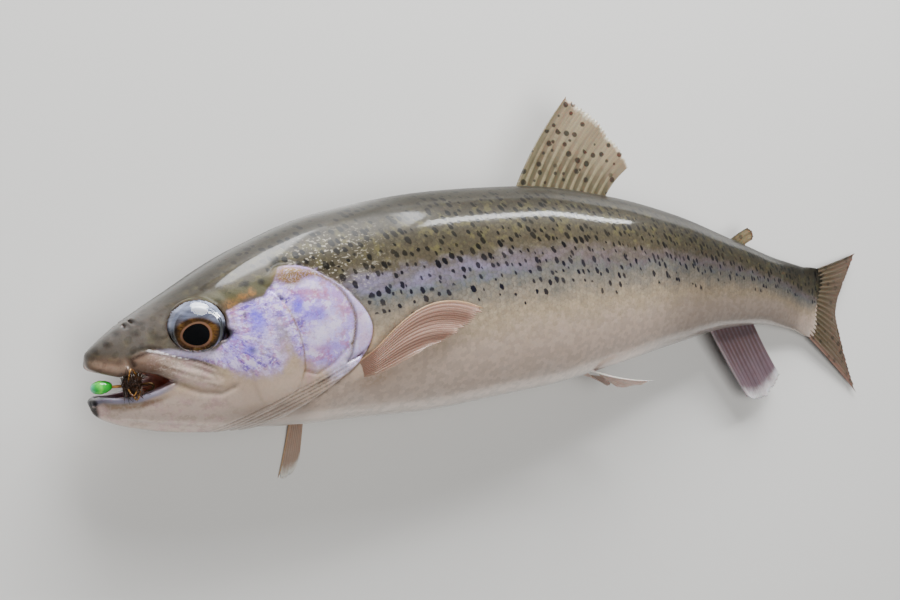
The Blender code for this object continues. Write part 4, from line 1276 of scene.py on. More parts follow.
def bakePatches(mesh, rootS, rootShare, side, perPiece, local):
    # each scale is a small patch at its root's place on the unrolled body
    values = scaleLayout
    layer = mesh.uv_layers.new(name="OFBake")
    loops = np.empty(len(mesh.loops), np.int32)
    mesh.loops.foreach_get("vertex_index", loops)
    owner = loops // perPiece
    margin, patch = values["bakeMargin"], values["bakePatch"]
    u = margin + (1 - 2 * margin) * (rootS[owner] - values["bakeStart"]) / values["bakeLength"]
    v = margin + (1 - 2 * margin) * (0.5 + 0.5 * side * rootShare[owner])
    uv = np.stack([u + patch * (local[loops, 0] - 0.5), v + patch * local[loops, 1]], axis=1)
    layer.data.foreach_set("uv", np.clip(uv, 0, 1).astype(np.float32).ravel())


def wrapScales(flat, side):
    # from the unrolled flank to the body; what reaches past the belly's middle comes up the far side
    where = flat[:, 0]
    share = flat[:, 1] / halfGirthAt(where)
    over = np.abs(share)
    angle = angleAt(where, np.where(over > 1, 2 - over, over)) * np.sign(share) * side
    angle = np.where(over > 1, np.sign(angle) * (2 * pi) - angle, angle)
    base = -bodyShape["skinInset"] - scaleLayout["sink"]
    under = bodyPoint(where, angle, base)
    outward = bodyPoint(where, angle, base + 0.5) - under
    outward /= np.maximum(np.linalg.norm(outward, axis=1), 1e-6)[:, None]
    proud = flat[:, 2] + relief(*under.T) * reliefEnd(where)
    return under + outward * proud[:, None]


def buildCoat(side, name, material, blank, tree):
    values = scaleLayout
    roots, rng = scaleRoots(side)
    s, share, count, shrink = roots.T
    girth = halfGirthAt(s)
    points = np.stack([s, share * girth, np.zeros(len(s))], axis=1)
    carrier = makeObject("carrier", makeMesh("carrier", points, []))
    long = shrink * rng.uniform(0.95, 1.05, len(s))
    wide = girth / count / values["blankWidth"] * values["overlapAcross"]
    lifted = shrink * ease(44, 62, s) * (1 - 0.7 * ease(0.5, 0.75, share))
    setField(carrier.data, "ownSize", np.stack([long, wide, lifted], axis=1))
    coat = grow(carrier, tree, name, {
        "Blank": blank, "Length": values["length"], "Width": values["width"], "Lift": values["lift"],
        "Turn Spread": values["turnSpread"], "Seed": values["seed"], "Material": material})
    flat = meshPoints(coat.data)
    wrapped = wrapScales(flat, side)
    # a scale's own tone, and how near a point is to its rear rim, which fades on the belly
    blankPoints = meshPoints(blank.data)
    perPiece = len(blankPoints)
    owner = np.arange(len(flat)) // perPiece
    onRim = (blankPoints[:, 0] > 0.4) & (np.arange(perPiece) < perPiece - 2)
    rims = np.tile(onRim, len(s)) * (1 - 0.8 * ease(0.45, 0.75, share))[owner]
    setField(coat.data, "rim", rims)
    setField(coat.data, "tone", rng.uniform(0, 1, len(s))[owner])
    markPiece(coat.data, wrapped)
    bakePatches(coat.data, s, share, side, perPiece, np.tile(blankPoints[:, :2], (len(s), 1)))
    wrapped[:, 2] *= stalkTaper(flat[:, 0])
    setPoints(coat.data, lie(wrapped))
    coat.data.shade_smooth()
    finishPiece(coat, None, "body_skin")


scaleMaterial = wetMaterial("wetScales", 0.02, 0.08, True)
scaleBlank = makeScaleBlank()
coatInputs = [(label, "value") for label in ("Length", "Width", "Lift", "Turn Spread")] + [("Seed", "count")]
coatTree = makeInstanceTree("scaleCoat", coatInputs, layScales)
for side, name in ((1, "scalesLeft"), (-1, "scalesRight")):
    buildCoat(side, name, scaleMaterial, scaleBlank, coatTree)
bpy.data.objects.remove(scaleBlank, do_unlink=True)

# ---- fins: a thin membrane over soft, branching rays ----
finShape = {
    "columnsPerRay": 8, "rows": 40, "membrane": (0.13, 0.07), "ray": (0.42, 0.07), "leading": 0.5,
    "rayShare": 0.34, "rayTaper": 0.45, "branchStart": 0.35, "branchSpread": 0.24,
    "wave": 0.35, "ripples": 2.3, "rippleShift": 0.15,
    "recess": 0.022, "wear": 0.03, "bump": 0.04, "freckle": "#1d1a16", "freckleSizes": (0.12, 0.32),
}
# tones of the web at its root and further out, the rays, and the front, outer and rear edges
finTones = {
    "dorsalWeb": ("#5b5540", "#8b8069", "#8f8468", "#6a6148", "#c9c0ae", "#8b8069"),
    "adiposeWeb": ("#625b43", "#7c7357", "#6d6549", "#3a3627", "#3a3627", "#4a4533"),
    "analWeb": ("#5b4848", "#66545c", "#6e5f66", "#8d7f82", "#d8d2d4", "#7b6b70"),
    "caudalWeb": ("#544937", "#65564a", "#5c5040", "#463e31", "#5b4d42", "#775d52"),
    "pectoralWeb": ("#9b7a6a", "#8a6c5e", "#9f7f70", "#a3835f", "#a98a7c", "#ab8d7c"),
    "farPectoralWeb": ("#8d7262", "#9b8576", "#a48c7c", "#a98a68", "#e2dad2", "#a98a74"),
    "pelvicWeb": ("#a98d7e", "#b59c8e", "#c4ab9c", "#e6ddd6", "#cdbbae", "#b08f7d"),
}
# how far in the front, outer and rear edges reach, and how strong the freckles are
finReaches = {
    "dorsalWeb": (0.06, 0.06, 0.0, 0.85), "adiposeWeb": (0.12, 0.16, 0.0, 0.5),
    "analWeb": (0.08, 0.2, 0.0, 0.0), "caudalWeb": (0.05, 0.1, 0.1, 0.55),
    "pectoralWeb": (0.05, 0.05, 0.16, 0.0), "farPectoralWeb": (0.1, 0.12, 0.1, 0.0),
    "pelvicWeb": (0.12, 0.06, 0.0, 0.0),
}
finToneLabels = ("Web", "Outer Web", "Ray", "Front", "Rim", "Rear")
finReachLabels = ("Front Reach", "Rim Reach", "Rear Reach", "Freckles")


def fanSurface(front, rear, bulge=(0.0, 0.0, 0.0), notch=0.0):
    # the middle sheet of a fin between its front and its rear ray: root, bow and tip of each
    front, rear = [np.array(p, float) for p in front], [np.array(p, float) for p in rear]

    def place(u, v):
        u, v = u[..., None], v[..., None]
        root, bow, tip = (a + (b - a) * u for a, b in zip(front, rear))
        swell = 4 * u * (1 - u)
        tip = tip + np.array(bulge) * swell - np.array((notch, 0, 0)) * (1 - np.abs(2 * u - 1) ** 1.4)
        bow = bow + np.array(bulge) * swell * 0.5
        return root * (1 - v) ** 2 + bow * (2 * v * (1 - v)) + tip * v ** 2

    return place


def fade(pair, v):
    # from the first value at the root to the second at the tip
    return pair[0] + (pair[1] - pair[0]) * v


def buildFin(name, node, place, rays, material, thin=1.0, wave=1.0, seed=1):
    values = finShape
    rng = np.random.default_rng(seed)
    columns, rows = (rays - 1) * values["columnsPerRay"] + 1, values["rows"]
    u, v = np.meshgrid(np.linspace(0, 1, columns), np.linspace(0, 1, rows), indexing="ij")
    count = u * (rays - 1)
    toEdge = np.minimum(count, rays - 1 - count)
    branch = values["branchSpread"] * ease(values["branchStart"], 1.0, v) * ease(0.5, 2.0, toEdge)
    nearest = np.abs(count - np.round(count))
    ray = np.maximum(0, 1 - ((nearest - branch) / (values["rayShare"] * (1 - values["rayTaper"] * v))) ** 2)
    leading = np.maximum(0, 1 - (count / 0.8) ** 2) * (1 - v) ** 0.6
    # ray ends stand a little past the membrane, which is notched and worn here and there
    worn = np.interp(np.arange(columns), np.linspace(0, columns - 1, rays * 2), rng.uniform(0, 1, rays * 2))
    shorter = values["recess"] * (1 - ray[:, -1]) + values["wear"] * worn ** 3
    middle = place(u, v * (1 - shorter[:, None] * ease(0.6, 1.0, v)))
    outward = np.cross(np.gradient(middle, axis=0), np.gradient(middle, axis=1))
    outward /= np.maximum(np.linalg.norm(outward, axis=2), 1e-9)[..., None]
    ripple = np.sin(2 * pi * (u * values["ripples"] + values["rippleShift"] * seed))
    middle = middle + outward * (ripple * values["wave"] * wave * v ** 1.5)[..., None]
    stiff = ray * fade(values["ray"], v ** 0.7) + leading * values["leading"]
    thick = fade(values["membrane"], v) + stiff * thin
    thick *= (0.35 + 0.65 * ease(1.0, 0.9, v)) * (0.4 + 0.6 * ease(0.0, 0.3, toEdge))
    half = outward * (thick / 2)[..., None]
    points = np.concatenate([(middle + half).reshape(-1, 3), (middle - half).reshape(-1, 3)])
    sheet = columns * rows
    i, j = np.meshgrid(np.arange(columns - 1), np.arange(rows - 1), indexing="ij")
    a = (i * rows + j).ravel()
    quads = np.stack([a, a + rows, a + rows + 1, a + 1], axis=1)
    faces = [tuple(f) for f in quads] + [tuple(f + sheet) for f in quads[:, ::-1]]
    edge = [k * rows for k in range(columns)] + [(columns - 1) * rows + j for j in range(1, rows)]
    edge += [k * rows + rows - 1 for k in range(columns - 2, -1, -1)] + list(range(rows - 2, 0, -1))
    for a, b in zip(edge, edge[1:] + edge[:1]):
        faces.append((b, a, a + sheet, b + sheet))
    mesh = faceOutwards(makeMesh(name, points, faces))
    flat = np.stack([u, v, np.clip(ray + leading, 0, 1)], axis=-1).reshape(-1, 3)
    setField(mesh, "finPlace", np.concatenate([flat, flat]))
    layPiece(name, mesh, material, "fin", node)


def makeFinGroup(values):
    # colour over a fin: web between the rays, rays, all its edges and dark freckles
    t, given, result = makeTree(
        "finColouring", "ShaderNodeTree",
        [("Straight", "vector"), ("Fin Place", "vector")] + [(label, "colour") for label in finToneLabels]
        + [(label, "value", 0.0) for label in finReachLabels],
        (("Colour", "colour"), ("Roughness", "value"), ("Alpha", "value"), ("Height", "value")),
    )
    step, times = t.step, t.times
    across, along, ray = t.split(given["Fin Place"])
    straight = given["Straight"]
    cloud = t.noise(straight, 0.35, 3.0, 0.6)
    grain = t.noise(straight, 2.6, 2.0, 0.6)
    outer = step(t.plus(along, t.about(cloud, 0.5)), 0.25, 0.85)
    joint = times(step(t.math("FRACT", times(along, 34.0)), 0.82, 0.95, 0.0, 0.35), ray)
    fromRear, fromRim = (t.plus(t.minus(1.0, part), t.about(cloud, 0.12)) for part in (across, along))
    fromFront = t.plus(across, t.about(grain, 0.03))
    colour = t.mix(outer, given["Web"], given["Outer Web"])
    for mask, tone in (
        (times(step(ray, 0.25, 0.85), step(cloud, 0.3, 0.6, 0.45, 0.9)), "Ray"), (joint, "Web"),
        (step(fromRear, given["Rear Reach"], 0.0), "Rear"), (step(fromRim, given["Rim Reach"], 0.0), "Rim"),
        (step(fromFront, given["Front Reach"], 0.0), "Front"),
    ):
        colour = t.mix(mask, colour, given[tone])
    away, chances = t.cells(t.stretch(straight, 0.3, 0.36, 0.0))
    small, large = values["freckleSizes"]
    dot = step(t.minus(away, t.scaled(chances[0], large - small, small)), 0.06, -0.06)
    colour = t.mix(times(dot, given["Freckles"], step(chances[1], 0.35, 0.45)), colour, values["freckle"])
    colour = t.mix(step(grain, 0.36, 0.28, 0.0, 0.3), colour, given["Web"], "MULTIPLY")
    clear = times(step(ray, 0.5, 0.1), step(along, 0.05, 0.4))
    t.fill(result, {
        "Colour": colour, "Roughness": t.scaled(grain, 0.25, 0.28), "Alpha": t.scaled(clear, -0.12, 1.0),
        "Height": t.plus(grain, times(joint, -2.0)),
    })
    return t.tree


finGroup = makeFinGroup(finShape)


def finMaterial(name):
    material, t, shader = makeMaterial(name)
    paint = t.add("ShaderNodeGroup", node_tree=finGroup)
    t.fill(paint.inputs, {"Straight": t.field("straight"), "Fin Place": t.field("finPlace")})
    t.fill(paint.inputs, dict(zip(finToneLabels, finTones[name])))
    t.fill(paint.inputs, dict(zip(finReachLabels, finReaches[name])))
    t.fill(shader, {
        "Base Color": paint.outputs["Colour"], "Roughness": paint.outputs["Roughness"],
        "Alpha": paint.outputs["Alpha"], "Normal": t.bump(paint.outputs["Height"], finShape["bump"]),
        "Coat Weight": 0.5, "Coat Roughness": 0.1, "Coat IOR": 1.34,
        "Subsurface Weight": 0.15, "Subsurface Scale": 0.001,
    })
    return material


# fins on the back, the belly and the tail's end: where their front and rear rays start and end
medianFins = (
    {"name": "dorsalFin", "node": "dorsal_fin", "web": "dorsalWeb", "roots": (123.0, 156.0),
     "tips": ((143.0, 54.0), (167.0, 34.5)), "lean": 3.0, "bulge": (1.0, 2.0, 0.0), "rays": 13, "seed": 2},
    {"name": "adiposeFin", "node": "adipose_fin", "web": "adiposeWeb", "roots": (212.0, 219.5),
     "tips": ((222.5, 19.8), (225.5, 16.2)), "lean": 1.2, "bulge": (1.2, 0.6, 0.0), "rays": 6, "seed": 3,
     "thin": 0.3, "wave": 0.2},
    {"name": "analFin", "node": "anal_fin", "web": "analWeb", "roots": (205.0, 228.0),
     "tips": ((229.0, -36.0), (247.0, -27.0)), "lean": 2.0, "bulge": (2.5, -3.5, 0.0), "rays": 12, "seed": 4},
)
caudal = {"root": 262.3, "bows": ((8.0, 3.5), (10.0, -4.0)), "tips": ((282.0, 22.5), (297.0, -26.0)),
          "notch": 13.5, "rays": 19, "wave": 0.5, "seed": 5}
pectoral = {
    "front": ((58.2, -10.2), (68.0, -4.5), (78.0, 9.5), (96.0, -0.9)),
    "rear": ((59.9, -12.7), (66.0, -12.6), (73.0, -9.6), (79.0, -7.6)),
    "bulge": (1.0, -0.8), "clear": 1.5, "bury": 2.0, "rise": 0.22, "lift": 1.56, "rays": 14, "seed": 6,
}
# the far pectoral fin lies on the floor: bows and tips of its front and rear rays
farPectoral = {
    "front": ((56.5, -24.0), (50.2, -39.0)), "rear": ((60.0, -25.0), (56.8, -36.0)), "aboveFloor": 0.275,
    "floorPlace": 50.0, "bulge": (0.0, -1.5, 0.0), "rays": 9, "wave": 0.1, "seed": 7,
}
pelvic = {
    "roots": ((141.0, 162.0), (145.5, 170.0)), "tips": ((25.5, -5.5, 5.5), (12.5, -7.5, -0.5)),
    "bows": ((-1.5, -2.5, 2.0), (0.0, -0.8, 0.0)), "bulge": (1.5, -0.5, 0.0), "rays": 10, "wave": 0.5,
    "seed": 8,
}
finBury = 2.0


def medianSurface(values):
    def ray(place, tip):
        edge, inward = (backAt, -finBury) if tip[1] > 0 else (bellyAt, finBury)
        root, end = np.array((place, float(edge(place)) + inward, 0.0)), np.array((*tip, 0.0))
        return root, (root + end) / 2 - (values["lean"], 0.0, 0.0), end

    front, rear = (ray(place, tip) for place, tip in zip(values["roots"], values["tips"]))
    return fanSurface(front, rear, values["bulge"])


def pectoralSurface(u, v):
    # lies back along the left flank and rises clear of it
    values = pectoral
    u, v = u[..., None], v[..., None]
    corners = [np.array(a) + (np.array(b) - np.array(a)) * u for a, b in zip(values["front"], values["rear"])]
    corners[3] = corners[3] + np.array(values["bulge"]) * 4 * u * (1 - u)
    w = 1 - v
    path = corners[0] * w ** 3 + 3 * v * w * (corners[1] * w + corners[2] * v) + corners[3] * v ** 3
    v = v[..., 0]
    sunk = (values["bury"] + values["clear"]) * np.clip(1 - v / values["rise"], 0, None)
    return flankPoint(path[..., 0], path[..., 1], values["clear"] - sunk + values["lift"] * v * v)


def farPectoralSurface(values):
    floor = values["aboveFloor"] - float(middleHeight(np.array(values["floorPlace"])))
    rays = []
    for edge in ("front", "rear"):
        s, y = pectoral[edge][0]
        root = (s, y, -flankPoint(s, y, -finBury)[2])
        rays.append((root, *((*place, floor) for place in values[edge])))
    return fanSurface(*rays, values["bulge"])


def pelvicSurface(values, side):
    mirrored = (1, 1, side)
    rays = []
    for (place, turn), tip, bow in zip(values["roots"], values["tips"], values["bows"]):
        root = bodyPoint(np.array(place), np.array(side * radians(turn)), -finBury)
        end = root + np.multiply(tip, mirrored)
        rays.append((root, (root + end) / 2 + np.multiply(bow, mirrored), end))
    return fanSurface(*rays, values["bulge"])


def buildFins():
    for fin in medianFins:
        buildFin(fin["name"], fin["node"], medianSurface(fin), fin["rays"], finMaterial(fin["web"]),
                 fin.get("thin", 1.0), fin.get("wave", 1.0), fin["seed"])
    root, rays = caudal["root"], []
    for edge, bow, tip in zip((backAt, bellyAt), caudal["bows"], caudal["tips"]):
        y = float(edge(pose["stalkEnd"]))
        rays.append(((root, y, 0), (root + bow[0], y + bow[1], 0), (*tip, 0)))
    buildFin("caudalFin", "caudal_fin", fanSurface(*rays, notch=caudal["notch"]), caudal["rays"],
             finMaterial("caudalWeb"), wave=caudal["wave"], seed=caudal["seed"])
    buildFin("pectoralFinLeft", "pectoral_fin_left", pectoralSurface, pectoral["rays"],
             finMaterial("pectoralWeb"), seed=pectoral["seed"])
    buildFin("pectoralFinRight", "pectoral_fin_right", farPectoralSurface(farPectoral), farPectoral["rays"],
             finMaterial("farPectoralWeb"), wave=farPectoral["wave"], seed=farPectoral["seed"])
    hip = finMaterial("pelvicWeb")
    for word, side in (("Left", 1), ("Right", -1)):
        buildFin("pelvicFin" + word, "pelvic_fin_" + word.lower(), pelvicSurface(pelvic, side),
                 pelvic["rays"], hip, wave=pelvic["wave"], seed=pelvic["seed"] + side)


buildFins()

# ---- eyes ----
eyeLook = {
    "irisMiddle": (0.2, -1.1), "irisRadius": 5.1, "pupilMiddle": (0.35, -0.9), "pupilRadius": (3.1, 2.5),
    "pupilPoint": 0.28, "domeBulge": 0.35, "irisDip": 0.3, "sectors": 72, "rings": 16,
    "irisTones": ((0.2, "#4a3826"), (0.4, "#7a5630"), (0.55, "#b98340"), (0.72, "#d6a860"), (0.9, "#8d6434")),
    "limb": "#2f2823", "ring": "#d8a07a", "pupil": (0.002, 0.002, 0.004, 1.0),
    # the pale crescent is a painted reflection of the sky and the dark under the eye is painted shade; the
    # window is the part of the iris left clear of it
    "crescent": "#d2d8ee", "crescentDark": "#a0a5bc", "underEye": "#241f1c",
    "window": (0.5, -2.3), "windowReach": (5.4, 4.3), "clear": (0.96, 0.97, 1.0, 1.0),
    "threads": 5.0, "bump": 0.08, "seam": 0.03, "irisSeat": 0.12, "ballInset": 0.14, "domeGap": 0.02,
    "domeReach": 1.15,
}


def eyeRings(values):
    # rings round the iris that widen into the rim of the eyeball
    sectors, rings = values["sectors"], values["rings"]
    middle = np.array(values["irisMiddle"])
    angle = 2 * pi * np.arange(sectors) / sectors
    ray = np.stack([np.cos(angle), np.sin(angle)], axis=1)
    edge, rim = middle + ray * values["irisRadius"], ray * face["eyeRadius"]
    flat, around = [middle[None, :]], [np.zeros(1)]
    for k in range(1, 2 * rings + 1):
        t = k / rings
        flat.append(middle + (edge - middle) * t if t <= 1 else (2 - t) * edge + (t - 1) * rim)
        around.append(np.full(sectors, t))
    return np.concatenate(flat), np.concatenate(around)


def domeHeight(flat):
    share = np.clip((flat ** 2).sum(axis=1) / face["eyeRadius"] ** 2, 0, 1)
    return face["eyeHalfDepth"] * np.sqrt(1 - share)


def ringFaces(sectors, rings, start=0):
    # a fan round the first point, then rings of quads
    faces = [(start, start + 1 + k, start + 1 + (k + 1) % sectors) for k in range(sectors)]
    for row in range(rings - 1):
        a = start + 1 + row * sectors
        for k in range(sectors):
            faces.append((a + k, a + sectors + k, a + sectors + (k + 1) % sectors, a + (k + 1) % sectors))
    return faces


def buildEye(side, name, node, ballMaterial, clearMaterial):
    values = eyeLook
    mirrored = np.array((1, 1, side))
    centre, axes = eyeMiddle * mirrored, eyeTurn * mirrored
    sectors, rings, middle = values["sectors"], 2 * values["rings"], np.array(values["irisMiddle"])
    flat, around = eyeRings(values)
    count = len(flat)
    # the iris is a shallow dish just behind the rounded front of the ball
    dome = domeHeight(flat)
    limb = middle + (flat - middle) / np.maximum(around, 1e-6)[:, None]
    limb[0] = middle
    share = np.clip(around, 0, 1)
    low = domeHeight(limb) - values["irisSeat"]
    plane = low * share ** 2 + (low.mean() - values["irisDip"]) * (1 - share ** 2)
    front = np.where(around < 1.0, plane, dome - values["ballInset"] * ease(1.5, 1.0, around))
    points = np.concatenate([np.column_stack([flat, front]), np.column_stack([flat, -dome])])
    faces = ringFaces(sectors, rings) + ringFaces(sectors, rings, count)
    mesh = faceOutwards(makeMesh(name, centre + points @ axes, faces), 0.0005)
    setField(mesh, "eyePlace", (meshPoints(mesh) - centre) @ axes.T)
    layPiece(name, mesh, ballMaterial, "eye", node)
    # the clear dome stands over it, with a wall all round
    swell = np.clip(1 - (around / values["domeReach"]) ** 2, 0, None)
    bulge = dome + values["domeGap"] + values["domeBulge"] * swell
    inner = np.maximum(front, 0) + values["seam"]
    shell = np.concatenate([np.column_stack([flat, bulge]), np.column_stack([flat, inner])])
    faces = ringFaces(sectors, rings - 1) + ringFaces(sectors, rings - 1, count)
    rim = np.arange(count - 2 * sectors, count - sectors)
    faces += [(a, b, b + count, a + count) for a, b in zip(rim, np.roll(rim, -1))]
    mesh = faceOutwards(makeMesh(name + "Clear", centre + shell @ axes, faces))
    layPiece(name + "Clear", mesh, clearMaterial, "eye")


def makeIris(values):
    material, t, shader = makeMaterial("iris")
    step, times = t.step, t.times
    place = t.field("eyePlace")
    across, up = t.split(place)[:2]
    (middleX, middleY), (pupilX, pupilY) = values["irisMiddle"], values["pupilMiddle"]
    wide, tall = values["pupilRadius"]
    x, y = t.minus(across, pupilX + middleX), t.minus(up, pupilY + middleY)
    # the pupil is an egg, pointed towards the snout
    squeeze = t.scaled(x, values["pupilPoint"] / wide / 2, 1.0)
    far = t.length(t.math("DIVIDE", x, wide), times(t.math("DIVIDE", y, tall), squeeze))
    ix, iy = t.minus(across, middleX), t.minus(up, middleY)
    inIris = t.math("DIVIDE", t.length(ix, iy), values["irisRadius"])
    turn = t.math("ARCTAN2", iy, ix)
    thread = t.noise(t.join(times(turn, values["threads"]), times(inIris, 1.2)), 1.6, 4.0, 0.65)
    cloud = t.noise(place, 0.55, 3.0, 0.6)
    colour = t.ramp(t.plus(times(cloud, 0.9), t.about(thread, 0.5)), values["irisTones"])
    colour = t.mix(step(inIris, 0.82, 1.0, 0.0, 0.6), colour, values["limb"])
    onRing = times(step(far, 1.0, 1.06), step(far, 1.26, 1.14), 0.9)
    colour = t.mix(onRing, colour, values["ring"])
    colour = t.mix(step(far, 1.05, 0.98), colour, values["pupil"])
    # painted reflection of the sky above and round the iris, painted shade below it
    uneven = step(t.noise(t.stretch(place, 0.25, 0.9, 0.4), 1.0), 0.35, 0.65)
    paintedReflectionAndShade = t.mix(uneven, values["crescent"], values["crescentDark"])
    paintedReflectionAndShade = t.mix(step(up, 1.5, -1.5), paintedReflectionAndShade, values["underEye"])
    away = t.length(*(t.scaled(part, 1 / size, -middle / size) for part, middle, size in zip(
        (across, up), values["window"], values["windowReach"])))
    outside = times(step(away, 0.92, 1.1), step(across, 6.5, 2.0), step(up, -3.5, -0.5))
    outside = t.math("MAXIMUM", outside, step(inIris, 0.97, 1.04))
    t.fill(shader, {
        "Base Color": t.mix(outside, colour, paintedReflectionAndShade), "Roughness": t.scaled(thread, 0.2, 0.45),
        "Metallic": times(step(far, 1.0, 1.1, 0.0, 0.35), step(inIris, 1.0, 0.95)),
        "Normal": t.bump(thread, values["bump"]), "Specular IOR Level": 0.05,
    })
    return material


def makeEyeClear(values):
    material, t, shader = makeMaterial("eyeClear")
    film = t.noise(t.add("ShaderNodeTexCoord").outputs["Object"], 900.0, 2.0)
    t.fill(shader, {"Base Color": values["clear"], "Transmission Weight": 1.0, "Roughness": 0.0, "IOR": 1.36,
                    "Normal": t.bump(film, 0.02, 0.05)})
    return material


irisMaterial, clearMaterial = makeIris(eyeLook), makeEyeClear(eyeLook)
buildEye(1, "eyeLeft", "eye_left", irisMaterial, clearMaterial)
buildEye(-1, "eyeRight", "eye_right", irisMaterial, clearMaterial)

# ---- plain materials for the tongue and the fly ----
# two tones unless the piece has a colour of its own, then cloud scale, roughness, coat, bump and metallic
plainLooks = {
    "tongueFlesh": ("#7c4238", "#a86a5c", 0.8, 0.35, 1.0, 0.1, 0.0),
    "greenBead": (1.2, 0.2, 1.0, 0.03, 0.0),
    "darkDubbing": ("#120c08", "#3c2413", 2.2, 0.6, 0.3, 0.15, 0.0),
    "amberLegs": ("#5a3212", "#c9924a", 0.8, 0.3, 0.6, 0.02, 0.2),
    "flyHair": ("#0e0906", "#4a2c14", 0.9, 0.45, 0.4, 0.01, 0.0),
    "bronzeWire": ("#4a3620", "#7a5c36", 1.5, 0.3, 0.3, 0.01, 1.0),
}


def plainMaterial(name, ownColour=None):
    # tones clouded over each other, with a fine surface
    material, t, shader = makeMaterial(name)
    *tones, scale, roughness, coat, bumpDepth, metallic = plainLooks[name]
    straight = t.field("straight")
    cloud, grain = t.noise(straight, scale, 3.0, 0.6), t.noise(straight, scale * 6, 2.0, 0.6)
    colour = ownColour(t, straight, cloud) if ownColour else t.mix(t.step(cloud, 0.35, 0.65), *tones)
    t.fill(shader, {
        "Base Color": colour, "Metallic": metallic, "Roughness": t.scaled(grain, 0.2, roughness - 0.1),
        "Normal": t.bump(grain, bumpDepth), "Coat Weight": coat, "Coat Roughness": 0.08,
    })
    return material


def ballMesh(name, middle, reach, turn, across, around, shaping=None):
    shape = bmesh.new()
    bmesh.ops.create_uvsphere(shape, u_segments=around, v_segments=across, radius=1.0)
    mesh = bpy.data.meshes.new(name)
    shape.to_mesh(mesh)
    shape.free()
    unit = meshPoints(mesh)
    if shaping:
        unit = shaping(unit)
    setPoints(mesh, (unit * np.array(reach)) @ np.array(turn).T + np.array(middle))
    mesh.shade_smooth()
    return mesh


# ---- tongue ----
tongueShape = {"reach": (9.5, 1.5, 3.6), "groove": 0.35, "ripple": 0.06, "ripples": 14.0}


def buildTongue(values):
    def shaping(unit):
        top = np.clip(unit[:, 1], 0, None)
        unit[:, 1] -= values["groove"] * top * bump(unit[:, 2], 0.3)
        unit[:, 1] += values["ripple"] * np.sin(unit[:, 0] * values["ripples"]) * top
        return unit

    middle = (*pose["tongueMiddle"][:2], 0.0)
    mesh = ballMesh("tongueFlesh", middle, values["reach"], np.eye(3), 24, 40, shaping)
    layPiece("tongueFlesh", mesh, plainMaterial("tongueFlesh"), "mouth_lining", "tongue")


buildTongue(tongueShape)

# ---- the fly: a bead, a wound body with a ruff of fibres, and a hook ----
fly = {
    "beadMiddle": (2.25, -4.15, 2.6), "beadReach": (2.4, 1.55, 1.55), "middle": (7.9, -4.6, 6.2),
    # the pale ring in the bead's tones is a painted highlight
    "beadTones": ((0.0, "#5cc8b0"), (0.18, "#2ab646"), (0.38, "#6fe052"), (0.5, "#2abd38"), (1.0, "#0f8a20")),
    "reach": (2.4, 2.1, 2.0), "turn": radians(-24.0), "core": 0.78, "windings": 7, "threadRadius": 0.16,
    "threadOn": (0.12, 0.76), "threadOut": 0.84, "loops": 8, "loopReach": 4.4, "legRadius": 0.15,
    "neck": (0.36, 0.66), "neckRadius": 0.34, "fibres": 230, "fibreLength": 3.7, "fibreRadius": 0.09,
    "wire": 0.35, "hookBend": 1.1, "hookFlatness": 0.7, "hookSetback": 0.8, "hookSunk": 1.5,
    "gap": 0.3, "seed": 21,
}
flyTurn = np.array(Matrix.Rotation(fly["turn"], 3, "Y"))
beadMiddle, flyMiddle = np.array(fly["beadMiddle"]), np.array(fly["middle"])


def tubeMesh(name, path, radii, sides=10):
    # a round tube with closed ends along a path
    path = np.asarray(path, float)
    along = np.gradient(path, axis=0)
    along /= np.linalg.norm(along, axis=1)[:, None]
    across = np.cross(along, (0.13, 0.21, 1.0))
    across /= np.linalg.norm(across, axis=1)[:, None]
    other = np.cross(across, along)
    angle = 2 * pi * np.arange(sides) / sides
    points = []
    for place, a, b, radius in zip(path, across, other, radii):
        points += [place + (a * cos(t) + b * sin(t)) * radius for t in angle]
    faces = []
    for row in range(len(path) - 1):
        for k in range(sides):
            a, b = row * sides + k, row * sides + (k + 1) % sides
            faces.append((a, b, b + sides, a + sides))
    faces += [tuple(range(sides))[::-1], tuple(range(len(points) - sides, len(points)))]
    return faceOutwards(makeMesh(name, points, faces))


def joinMeshes(name, meshes):
    shape = bmesh.new()
    for mesh in meshes:
        shape.from_mesh(mesh)
    joined = bpy.data.meshes.new(name)
    shape.to_mesh(joined)
    shape.free()
    joined.shade_smooth()
    return joined


def layFibres(t, given):
    # fibres lean along their own direction, each with its own length
    align = t.add("FunctionNodeAlignRotationToVector", axis="X")
    t.put(align.inputs["Vector"], carried(t, "aim", "FLOAT_VECTOR"))
    return align.outputs[0], t.join(t.times(given["Length"], carried(t, "ownSize", "FLOAT")), 1.0, 1.0)


def flyPoint(u, angle, grow=1.0):
    # a point on the fly's tapered body: u runs from the bead to the hook
    x = -1 + 2 * u
    radius = np.sqrt(np.clip(1 - x * x, 0, None)) * grow
    local = np.stack([x + 0 * angle, radius * np.cos(angle), radius * np.sin(angle)], axis=-1) * fly["reach"]
    return local @ flyTurn.T + flyMiddle


